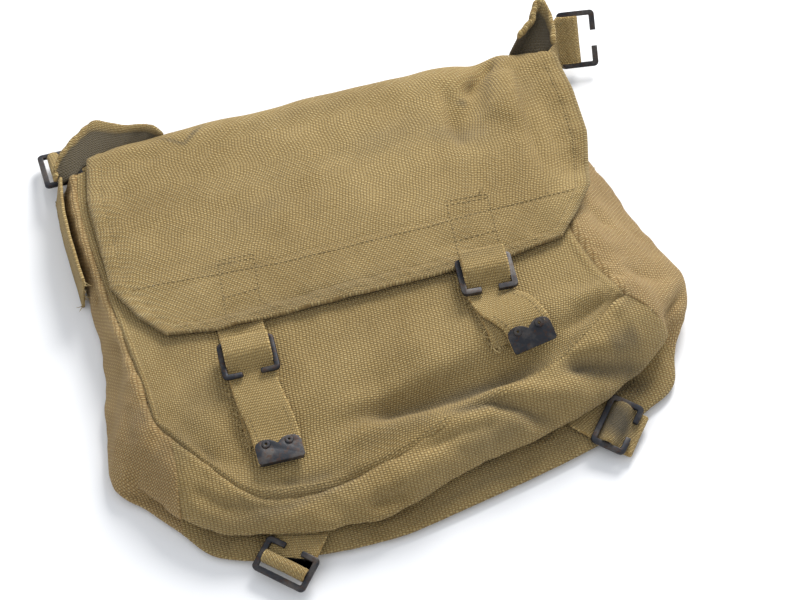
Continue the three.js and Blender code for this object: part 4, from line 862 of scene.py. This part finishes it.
chapeLift = bag["wall"] / 2 + bag["sewnGap"] + bag["webWall"] / 2
strapUnderFlap = bag["wall"] / 2 + bag["layerGap"] + bag["webWall"] / 2
strapOverChape = chapeLift + bag["webWall"] + gapBetween
buckleLift = strapOverChape + webUnderBar + 3 * gapBetween
tip = {"width": 26.6, "length": 15, "plate": 0.6}
tipHalf = bag["webWall"] / 2 + gapBetween / 2 + tip["plate"]
tipLift = chapeLift + bag["webWall"] / 2 + gapBetween + tipHalf

closures = {
    "Left": {"bar": (-0.358, -0.179), "turn": 89, "under": 0.143, "fold": 1.6,
             "tip": (-0.342, -0.446), "tipTurn": 91, "chape": (-0.351, -0.405)},
    "Right": {"bar": (0.161, -0.101), "turn": 87, "under": 0.143, "fold": 4.6,
              "tip": (0.211, -0.306), "tipTurn": 102, "chape": (0.178, -0.300)},
}


def strapRows(closure, seat, end):
    width = bag["web"]
    rows = []
    mount = closure["under"] * bag["height"] - seat.origin.y
    way = Vector((seat.bar.x, seat.bar.y, 0)).normalized()
    underSteps = round(mount / 8)
    for i in range(underSteps):
        v = mount + (closedInner + buckle["bar"] / 2 - mount) * i / (underSteps - 1)
        rows.append(planRow(seat.origin + way * v, (way.y, -way.x),
                            lambda x, y: frontHeight(x, y) + strapUnderFlap, width))
    low = seat.origin.z - float(frontHeight(seat.origin.x, seat.origin.y)) - strapUnderFlap
    first = webUnderBar + 0.1
    second = first + bag["webWall"] + 2 * gapBetween
    radius = (second - first) / 2
    for v, w in ((strapMiddle + 0.9, -low + 0.4), (strapMiddle + 0.1, -low + 1.5), (strapMiddle, -0.4),
                 (strapMiddle, 1.1), (strapMiddle + 0.35, first - 0.35), (closedInner + 0.3, first + 0.05)):
        rows.append(seat.row(v, w, width))
    rows += seat.arc(closedInner + closure["fold"], first + radius, radius, -90, 90, width)
    for v, w in ((closedInner, second + 0.3), (strapMiddle / 2, second + 0.6), (-0.2, strapMiddle + 0.6),
                 (-2.4, strapMiddle - 0.2), (-4, strapMiddle - 1.4),
                 (-prongInner + gapBetween + bag["webWall"] / 2, -webUnderBar - 0.1),
                 (-prongInner - buckle["bar"] / 2, -webUnderBar - 0.3),
                 (-prongOuter - 1.2, -webUnderBar - 0.45)):
        rows.append(seat.row(v, w, width))
    exitRow = rows[-1]
    entryRow = end.row(tip["length"] / 2 + 1.5, 0, width)
    start, stop = exitRow.mean(0) * (1, 1, 0), entryRow.mean(0) * (1, 1, 0)
    reach = np.linalg.norm(stop - start) / 3
    tipWay = np.array(Vector((end.bar.x, end.bar.y, 0)).normalized())
    bend = [start, start - np.array(way) * reach, stop + tipWay * reach, stop]
    above = lambda row: row[:, 2] - frontHeight(row[:, 0], row[:, 1])
    steps = round(reach * 3 / 6)
    for k in range(1, steps):
        t = k / steps
        r = 1 - t
        p = r ** 3 * bend[0] + 3 * t * r ** 2 * bend[1] + 3 * t * t * r * bend[2] + t ** 3 * bend[3]
        d = r ** 2 * (bend[1] - bend[0]) + 2 * t * r * (bend[2] - bend[1]) + t * t * (bend[3] - bend[2])
        d /= np.linalg.norm(d)
        row = planRow(p, (-d[1], d[0]), frontHeight, width)
        row[:, 2] += above(exitRow) * (1 - t) + above(entryRow) * t
        rows.append(row)
    lastRow = end.row(-tip["length"] / 2 + tip["plate"] + gapBetween, 0, width)
    return rows + [entryRow, end.row(0, 0, width), lastRow]


def chapeRows(closure, seat):
    width = bag["web"]
    start = Vector((closure["chape"][0] * bag["width"], closure["chape"][1] * bag["height"], 0))
    stop = seat.at(0, -prongInner + 1, 0)
    stop.z = 0
    way = (stop - start).normalized()
    steps = round((stop - start).length / 7)
    rows = [planRow(start.lerp(stop, i / steps), (way.y, -way.x),
                    lambda x, y: frontHeight(x, y) + chapeLift, width) for i in range(steps + 1)]
    low = seat.origin.z - float(frontHeight(seat.origin.x, seat.origin.y)) - chapeLift
    rows.append(seat.row(-7.5, -low + 0.3 * (low - loopMiddle), width))
    rows.append(seat.row(-4.2, -low + 0.75 * (low - loopMiddle), width))
    return rows + seat.arc(0, 0, loopMiddle, -110, 165, width)


webGrids = {}
for side, closure in closures.items():
    seat = seatOnFront(closure["bar"][0] * bag["width"], closure["bar"][1] * bag["height"], closure["turn"],
                       (closedOuter + prongOuter) / 2, bag["web"] / 2, buckleLift)
    end = seatOnFront(closure["tip"][0] * bag["width"], closure["tip"][1] * bag["height"], closure["tipTurn"],
                      tip["length"] / 2, tip["width"] / 2, tipLift)
    low = side.lower()
    straps, chapes = strapRows(closure, seat, end), chapeRows(closure, seat)
    webGrids["strap" + side] = webPiece("flapStrap" + side, straps, "flap_strap_" + low)
    webGrids["chape" + side] = webPiece("chapeWeb" + side, chapes, "buckle_chape_" + low, 0.2)

cornerBuckles = {  # x, y, z, turn, climb, roll, web, window, web end
    "top_left": ((-0.658, 0.620, 0.27), 183, 0, 14, bag["web"], buckle["window"],
                 ((-0.552, 0.571, 0.33), (-0.550, 0.672, 0.22))),
    "top_right": ((0.561, 0.692, 0.45), 174, 0, -42, bag["topWeb"], buckle["window"],
                  ((0.520, 0.590, 0.10), (0.494, 0.665, 0.60))),
    "bottom_left": ((-0.382, -0.704, 0.210), 227, -15, 0, bag["web"], buckle["lowWindow"],
                    ((-0.286, -0.648, 0.245), (-0.384, -0.622, 0.245))),
    "bottom_right": ((0.344, -0.527, 0.240), 141, 7, -5, bag["web"], buckle["lowWindow"],
                     ((0.252, -0.500, 0.23), (0.349, -0.436, 0.235))),
}
sizes = np.array((bag["width"], bag["height"], bag["rise"]))


def rowBetween(start, stop):
    return start + (stop - start) * (webShares + 0.5)[:, None]


def sideWebRow(place, side, width):
    groove = smoothCurve(sectionCurves[3], place)
    edge = smoothCurve(sectionCurves[4], place)
    off = bag["wall"] + bag["sewnGap"] + bag["sideWebGap"]
    foot = np.array((edge[0] + side * off, edge[1], bag["webWall"]))
    lean = np.array((groove[0] + side * off - foot[0], 0, groove[2] - foot[2]))
    return rowBetween(foot, foot + lean / np.linalg.norm(lean) * width)


def cornerWeb(name):
    place, turn, climb, roll, width, window, ends = cornerBuckles[name]
    seat = HardFrame(np.array(place) * sizes, turn, climb, roll)
    inner = buckle["centre"] / 2 + window
    outer = inner + buckle["bar"]
    rows = [rowBetween(np.array(ends[0]) * sizes, np.array(ends[1]) * sizes)]
    if name in ("top_left", "bottom_left"):
        rows += [seat.row(-outer - gapBetween, -webUnderBar, width),
                 seat.row(-inner + gapBetween, -webUnderBar, width),
                 seat.row(-4.2, -loopMiddle + 0.05, width)]
        return rows + seat.arc(0, 0, loopMiddle, -90, 165, width)
    if name == "top_right":
        rows = [sideWebRow(lastSection - 1.5, 1, width), sideWebRow(lastSection - 1, 1, width)] + rows
        rows += [seat.row(closedOuter + 1, webUnderBar, width), seat.row(closedInner, webUnderBar, width),
                 seat.row(3, loopMiddle, width)]
        rows += seat.arc(0, 0, loopMiddle, 90, 270, width)
        return rows + [seat.row(closedInner - gapBetween, -webUnderBar, width)]
    turnBack = (bag["webWall"] + gapBetween) / 2
    for v, w in ((closedOuter + gapBetween, -webUnderBar), (closedInner - 0.5, -webUnderBar),
                 (3, webUnderBar * 0.45), (1.4, webUnderBar), (-1.4, webUnderBar), (-3.2, webUnderBar * 0.45),
                 (-inner + 1.2, -webUnderBar), (-outer, -webUnderBar)):
        rows.append(seat.row(v, w, width))
    rows += seat.arc(-outer - 2.2, -webUnderBar - turnBack, turnBack, 90, 270, width)
    return rows + [seat.row(-outer + 0.5, -webUnderBar - 2 * turnBack, width)]


for name in cornerBuckles:
    end, side = name.split("_")
    webGrids[name] = webPiece(end + "Tab" + side.title(), cornerWeb(name), end + "_tab_" + side, 0.15)
sideRows = [sideWebRow(1.9 * i / 9, -1, bag["web"]) for i in range(10)]
webGrids["side"] = webPiece("sideWebLeft", sideRows, "side_web_left", 0.2)
print("webbing made")


# Ears at the ends of the mouth
earLeft = [  # root x, y, z, hem x, y, z as shares
    (-0.656, 0.536, 0.46, -0.664, 0.548, 0.56), (-0.648, 0.536, 0.52, -0.659, 0.580, 0.60),
    (-0.638, 0.536, 0.57, -0.629, 0.624, 0.69), (-0.618, 0.539, 0.63, -0.590, 0.665, 0.71),
    (-0.598, 0.560, 0.63, -0.557, 0.687, 0.72), (-0.560, 0.575, 0.62, -0.503, 0.652, 0.75),
    (-0.500, 0.590, 0.60, -0.440, 0.636, 0.74), (-0.450, 0.600, 0.60, -0.418, 0.612, 0.68),
]
earRight = [  # share across the mouth, turn, hem x, y, z
    (0.935, 0.62, 0.420, 0.650, 1.14), (0.950, 0.60, 0.452, 0.676, 1.24), (0.962, 0.60, 0.470, 0.714, 1.34),
    (0.974, 0.64, 0.486, 0.716, 1.34), (0.987, 0.68, 0.494, 0.664, 1.22), (1.000, 0.72, 0.486, 0.600, 1.12),
]


def mouthPoint(share, turn):
    angle = math.pi * turn
    p = backCorners["topLeft"] + (backCorners["topRight"] - backCorners["topLeft"]) * share
    p = p + (flapPoints(np.float64(0), np.float64(share)) - p) * (1 - math.cos(angle)) / 2
    p[1] += np.interp(share, turnReach[:, 0], turnReach[:, 1]) * bag["height"] * math.sin(angle)
    return p + np.array((0, math.sin(angle), -math.cos(angle))) * 2.1


def earPiece(name, node, rows, fine=9, cells=12):
    rows = [np.array([a + (b - a) * i / cells for i in range(cells + 1)]) for a, b in rows]
    flat = np.array(rows).reshape(len(rows), -1)
    count = (len(rows) - 1) * fine
    line = np.array([smoothCurve(flat, i / fine, rowMiddle, 1e-3) for i in range(count + 1)])
    grid = line.reshape(count + 1, cells + 1, 3)
    share = np.linspace(0, 1, cells + 1)[None, :]
    half = 0.85 + 1.15 * np.clip((share - 0.8) / 0.06, 0, 1) + 0 * grid[..., 0]
    n = gridNormals(grid)
    ripple = 0.35 * np.sin(np.arange(count + 1)[:, None] * 0.9) * share ** 2
    grid = grid + n * ripple[..., None]
    # Painted shade inside the ear: dark from its root to near its hem, with the hem left light
    dirtAndShade = 0.1 + 1.9 * np.clip((0.86 - share) / 0.12, 0, 1) + 0 * grid[..., 0]
    piece = thickSheet(name, grid, half, canvasCloth, dirtAndShade, rim=5)
    handOver(piece, node, "canvas", *clothFlat[name])
    return grid


earRowsLeft = [(np.array(r[:3]) * sizes, np.array(r[3:]) * sizes) for r in earLeft]
earRowsRight = [(mouthPoint(r[0], r[1]), np.array(r[2:]) * sizes) for r in earRight]
earGridLeft = earPiece("earLeftCloth", "ear_left", earRowsLeft)
earGridRight = earPiece("earRightCloth", "ear_right", earRowsRight)

for piece, node, slot in ((flapPiece, "back_and_flap", "canvas"), (frontPiece, "front_panel", "canvas"),
                          (leftPiece, "gusset_left", "shaded_canvas"),
                          (bottomPiece, "bottom_panel", "shaded_canvas"),
                          (rightPiece, "gusset_right", "shaded_canvas")):
    handOver(piece, node, slot, *clothFlat[piece.name])
print("ears made")


def gridNormalsUp(grid):
    n = gridNormals(grid)
    return n * np.where(n[..., 2:3] < 0, -1, 1)


# Points of the plan set on the upper side of a cloth
def onSurface(grid, plan, lift):
    points, n = grid.reshape(-1, 3), gridNormalsUp(grid).reshape(-1, 3)
    upper = points[:, 2] > 6
    points, n = points[upper], n[upper]
    made = []
    for a, b in zip(plan[:-1], plan[1:]):
        a, b = np.array(a, float), np.array(b, float)
        count = max(2, int(np.linalg.norm(b - a) / 2))
        for i in range(count):
            spot = a + (b - a) * i / count
            far = np.sum((points[:, :2] - spot) ** 2, axis=1)
            near = np.argsort(far)[:6]
            weight = 1 / (far[near] + 0.05)
            place = (points[near] * weight[:, None]).sum(0) / weight.sum()
            up = (n[near] * weight[:, None]).sum(0) / weight.sum()
            made.append(np.array((spot[0], spot[1], place[2])) + up * lift)
    return made


# Points of a grid off its upper side; rows or columns is one number
def alongGrid(grid, rows, columns, lift):
    n = gridNormalsUp(grid)
    return [grid[r, c] + n[r, c] * lift for r, c in zip(*np.broadcast_arrays(rows, columns))]


# Short stitches set along the edges of a mesh
sewing = newGroup("stitches", "GeometryNodeTree", {
    "Geometry": "Geometry", "Spacing": "Float", "Thread": "Float", "Reach": "Float", "Uneven": "Float",
    "Seed": "Int", "Material": "Material"}, {"Geometry": "Geometry"})
build(sewing, {
    **groupEnds, "line": ("GeometryNodeMeshToCurve", {}, {}),
    "spaced": ("GeometryNodeResampleCurve", {"mode": "LENGTH"}, {}),
    "bead": ("GeometryNodeMeshUVSphere", {}, {"Segments": 6, "Rings": 4, "Radius": 1}),
    "shape": ("ShaderNodeCombineXYZ", {}, {}), "stretched": ("GeometryNodeTransform", {}, {}),
    "way": ("GeometryNodeInputTangent", {}, {}),
    "turned": ("FunctionNodeAlignRotationToVector", {"axis": "Z"}, {}),
    "least": ("ShaderNodeMath", {"operation": "SUBTRACT"}, {0: 1}),
    "size": ("FunctionNodeRandomValue", {"data_type": "FLOAT"}, {3: 1.1}),
    "placed": ("GeometryNodeInstanceOnPoints", {}, {}), "real": ("GeometryNodeRealizeInstances", {}, {}),
    "painted": ("GeometryNodeSetMaterial", {}, {}),
}, [
    ("start", "Geometry", "line", "Mesh"), ("line", "Curve", "spaced", "Curve"),
    ("start", "Spacing", "spaced", "Length"),
    ("start", "Thread", "shape", 0), ("start", "Thread", "shape", 1), ("start", "Reach", "shape", 2),
    ("bead", "Mesh", "stretched", "Geometry"), ("shape", 0, "stretched", "Scale"),
    ("way", 0, "turned", "Vector"),
    ("start", "Uneven", "least", 1), ("least", 0, "size", 2), ("start", "Seed", "size", "Seed"),
    ("spaced", "Curve", "placed", "Points"), ("stretched", "Geometry", "placed", "Instance"),
    ("turned", 0, "placed", "Rotation"), ("size", 1, "placed", "Scale"), ("placed", 0, "real", 0),
    ("real", 0, "painted", "Geometry"), ("start", "Material", "painted", "Material"),
    ("painted", 0, "end", "Geometry"),
])


def stitch(name, lines, spacing, thread, reach, material, seed):
    verts, edges = [], []
    for line in lines:
        edges += [(len(verts) + i, len(verts) + i + 1) for i in range(len(line) - 1)]
        verts += [tuple(point * mm) for point in line]
    guide = bpy.data.meshes.new(name + "Guide")
    guide.from_pydata(verts, edges, [])
    holder = linkPiece(name, guide, None)
    work = holder.modifiers.new("sewing", "NODES")
    work.node_group = sewing
    given = {"Spacing": spacing * mm, "Thread": thread * mm, "Reach": reach * mm, "Uneven": 0.2, "Seed": seed,
             "Material": material}
    for item in sewing.interface.items_tree:
        if item.in_out == "INPUT" and item.name in given:
            work[item.identifier] = given[item.name]
    bpy.context.view_layer.update()
    made = bpy.data.meshes.new_from_object(holder.evaluated_get(bpy.context.evaluated_depsgraph_get()))
    holder.modifiers.remove(work)
    holder.data = made
    for polygon in made.polygons:
        polygon.use_smooth = True
    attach(holder, "root")


top = 1.05              # from a cloth's middle to a stitch's own middle
hemTop = top + 0.2
webTop = 1.0
hem = 5                 # the hem's stitches lie on this row or column of the grid, from its rim
hemRow, hemColumn = len(flapGrid) - 1 - hem, cloth["acrossCells"] - hem
hemLine = alongGrid(flapGrid, range(flapFrom, hemRow), hem, hemTop)
hemLine += alongGrid(flapGrid, hemRow, range(hem + 1, hemColumn), hemTop)
hemLine += alongGrid(flapGrid, range(hemRow, flapFrom, -1), hemColumn, hemTop)
facingPlan = [(-160, 24), (-120, 21), (-72, 17), (-40, 17), (13, 18), (70, 20), (120, 22)]
facing = onSurface(flapGrid, facingPlan, top)
boxes = [onSurface(flapGrid, plan, top) for plan in (
    [(-106, -8), (-103, 29), (-82, 28), (-85, -7)], [(-103, 26), (-82, 25)], [(-105, 2), (-84, 3)],
    [(34, -5), (37, 33), (62, 32), (59, -4)], [(37, 30), (62, 29)], [(35, 4), (60, 4)])]
stitch("flapStitches", [hemLine, facing] + boxes,
       spacing=2.9, thread=0.42, reach=1.05, material=seamThread, seed=3)
n = gridNormalsUp(frontGrid)
sideLine = alongGrid(frontGrid, range(30, 59), 4, top)
lowLine = [(frontGrid[-3, c] + frontGrid[-2, c]) / 2 + n[-3, c] * top
           for c in range(4, cloth["acrossCells"] - 4)]
otherLine = alongGrid(frontGrid, range(58, 24, -1), -5, top)
stitch("frontStitches", [sideLine, lowLine, otherLine],
       spacing=3.1, thread=0.34, reach=0.95, material=seamThread, seed=5)
webLines = []
for key, first, last in (("chapeLeft", 0, 34), ("chapeRight", 0, 34), ("side", 0, 45), ("top_left", 0, 8),
                         ("top_right", 4, 20), ("strapLeft", -22, -8), ("strapRight", -22, -8)):
    web = webGrids[key]
    rows = range(len(web))[first:last]
    for column in (1, 9):
        webLines.append(alongGrid(web, rows, column, webTop))
    if key.startswith("strap"):
        webLines.append(alongGrid(web, rows[-1], range(1, 10), webTop))
stitch("webStitches", webLines, spacing=2.6, thread=0.34, reach=0.85, material=seamThread, seed=7)
print("stitches made")


# Thin curling fibres, each with a root and a way
def strands(name, roots, material, radius, reach, seed, sides=3, rings=6):
    roll = np.random.default_rng(seed)
    verts, faces = [], []
    for root, way in roots:
        size = reach * roll.uniform(0.5, 1.3)
        heading = np.array(way) / max(1e-6, np.linalg.norm(way)) + roll.normal(0, 0.35, 3)
        bend = roll.normal(0, 0.32, 3)
        point, thin = np.array(root, float), radius * roll.uniform(0.7, 1.2)
        for i in range(rings):
            side = np.cross(heading, (0.3, 0.2, 1.0))
            side /= max(1e-6, np.linalg.norm(side))
            lift = np.cross(side, heading)
            lift /= max(1e-6, np.linalg.norm(lift))
            for k in range(sides):
                angle = math.tau * k / sides
                ringSize = thin * (1 - 0.12 * i)
                verts.append((point + (side * math.cos(angle) + lift * math.sin(angle)) * ringSize) * mm)
            if i < rings - 1:
                a, b = len(verts) - sides, len(verts)
                faces += [(a + k, a + (k + 1) % sides, b + (k + 1) % sides, b + k) for k in range(sides)]
            heading = heading + bend * 0.5
            point = point + heading / np.linalg.norm(heading) * size / (rings - 1)
            point[2] = max(point[2], 0.3)
    mesh = bpy.data.meshes.new(name)
    mesh.from_pydata([tuple(v) for v in verts], [], faces)
    piece = linkPiece(name, mesh, material)
    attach(piece, "root")


def frayed(grid, column, first, last, count, lift=0.3):
    roll = np.random.default_rng(first + count)
    inner = column + (1 if column == 0 else -1)
    rows = np.clip(roll.integers(first, last, count), 0, len(grid) - 1)
    out = grid[rows, column] - grid[rows, inner]
    return [(grid[r, column] + (0, 0, roll.uniform(-0.5, 0.5)), d / np.linalg.norm(d) + (0, 0, lift))
            for r, d in zip(rows, out)]


def frayedEnd(grid, row, count, lift=0.1):
    roll = np.random.default_rng(count + row)
    step = 1 if row == 0 else -1
    made = []
    for c in roll.integers(0, len(webShares), count):
        d = grid[row, c] - grid[row + step, c]
        made.append((grid[row, c] + roll.uniform(-0.8, 0.8, 3), d / np.linalg.norm(d) + (0, 0, lift)))
    return made


fray = frayed(webGrids["chapeLeft"], 0, 0, 40, 70) + frayed(webGrids["chapeLeft"], 10, 0, 30, 26)
fray += frayedEnd(webGrids["chapeLeft"], 0, 30) + frayedEnd(webGrids["chapeRight"], 0, 34)
fray += frayed(webGrids["chapeRight"], 0, 0, 46, 110) + frayed(webGrids["chapeRight"], 10, 0, 46, 24)
fray += frayedEnd(webGrids["bottom_right"], -1, 26) + frayedEnd(webGrids["bottom_left"], 0, 20)
fray += frayedEnd(webGrids["top_right"], -1, 30) + frayed(webGrids["top_right"], 0, 0, 20, 16)
fray += frayedEnd(webGrids["side"], -1, 20)
strands("frayedEnds", fray, threadCloth, radius=0.32, reach=4.2, seed=8)
fuzz = frayed(earGridLeft, 12, 0, len(earGridLeft), 90) + frayed(earGridRight, 12, 0, len(earGridRight), 50)
strands("earFuzz", fuzz, threadCloth, radius=0.14, reach=1.8, seed=9)
loose = [(onSurface(flapGrid, plan, 1.2)[0], way) for plan, way in (
    ([(58, 34), (62, 35)], (1, 0.6, 0.5)), ([(97, 23), (99, 23)], (0.5, 1, 0.5)))]
strands("looseThreads", loose + loose, threadCloth, radius=0.3, reach=7, seed=10)
print("frays made")


# Camera, light and floor
shot = {"from": (-0.1795, -0.6941, 1.0239), "at": (0, 0, 0), "lens": 93.4}
camera = bpy.data.objects.new("photoCamera", bpy.data.cameras.new("photoCamera"))
camera.data.lens = shot["lens"]
camera.data.sensor_width = 36
camera.location = shot["from"]
camera.rotation_euler = (Vector(shot["at"]) - Vector(shot["from"])).to_track_quat("-Z", "Y").to_euler()
bpy.context.scene.collection.objects.link(camera)
bpy.context.scene.camera = camera

world = bpy.data.worlds.new("room")
world.use_nodes = True
sky = world.node_tree.nodes["Background"]
sky.inputs["Color"].default_value = (0.93, 0.96, 1.0, 1)
sky.inputs["Strength"].default_value = 0.75
bpy.context.scene.world = world


def softLight(name, place, size, power, colour):
    light = bpy.data.lights.new(name, "AREA")
    light.shape = "DISK"
    light.size = size
    light.energy = power
    light.color = colour
    lamp = bpy.data.objects.new(name, light)
    lamp.location = place
    lamp.rotation_euler = (-Vector(place)).to_track_quat("-Z", "Y").to_euler()
    bpy.context.scene.collection.objects.link(lamp)


softLight("windowLight", (0.75, 1.25, 1.05), 0.8, 37, (1.0, 0.99, 0.97))
softLight("fillLight", (-0.9, -0.5, 1.6), 1.6, 3, (0.96, 0.98, 1.0))

floorMesh = bpy.data.meshes.new("paleFloor")
reach, drop = 3, -0.0006
corners = [(-reach, -reach, drop), (reach, -reach, drop), (reach, reach, drop), (-reach, reach, drop)]
floorMesh.from_pydata(corners, [], [(0, 1, 2, 3)])
paper, _, shader = newMaterial("paper")
shader.inputs["Base Color"].default_value = (0.90, 0.905, 0.92, 1)
shader.inputs["Roughness"].default_value = 0.9
floor = linkPiece("paleFloor", floorMesh, paper)
floor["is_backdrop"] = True
bpy.context.scene.view_settings.view_transform = "Standard"

low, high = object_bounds()
print("scene made")
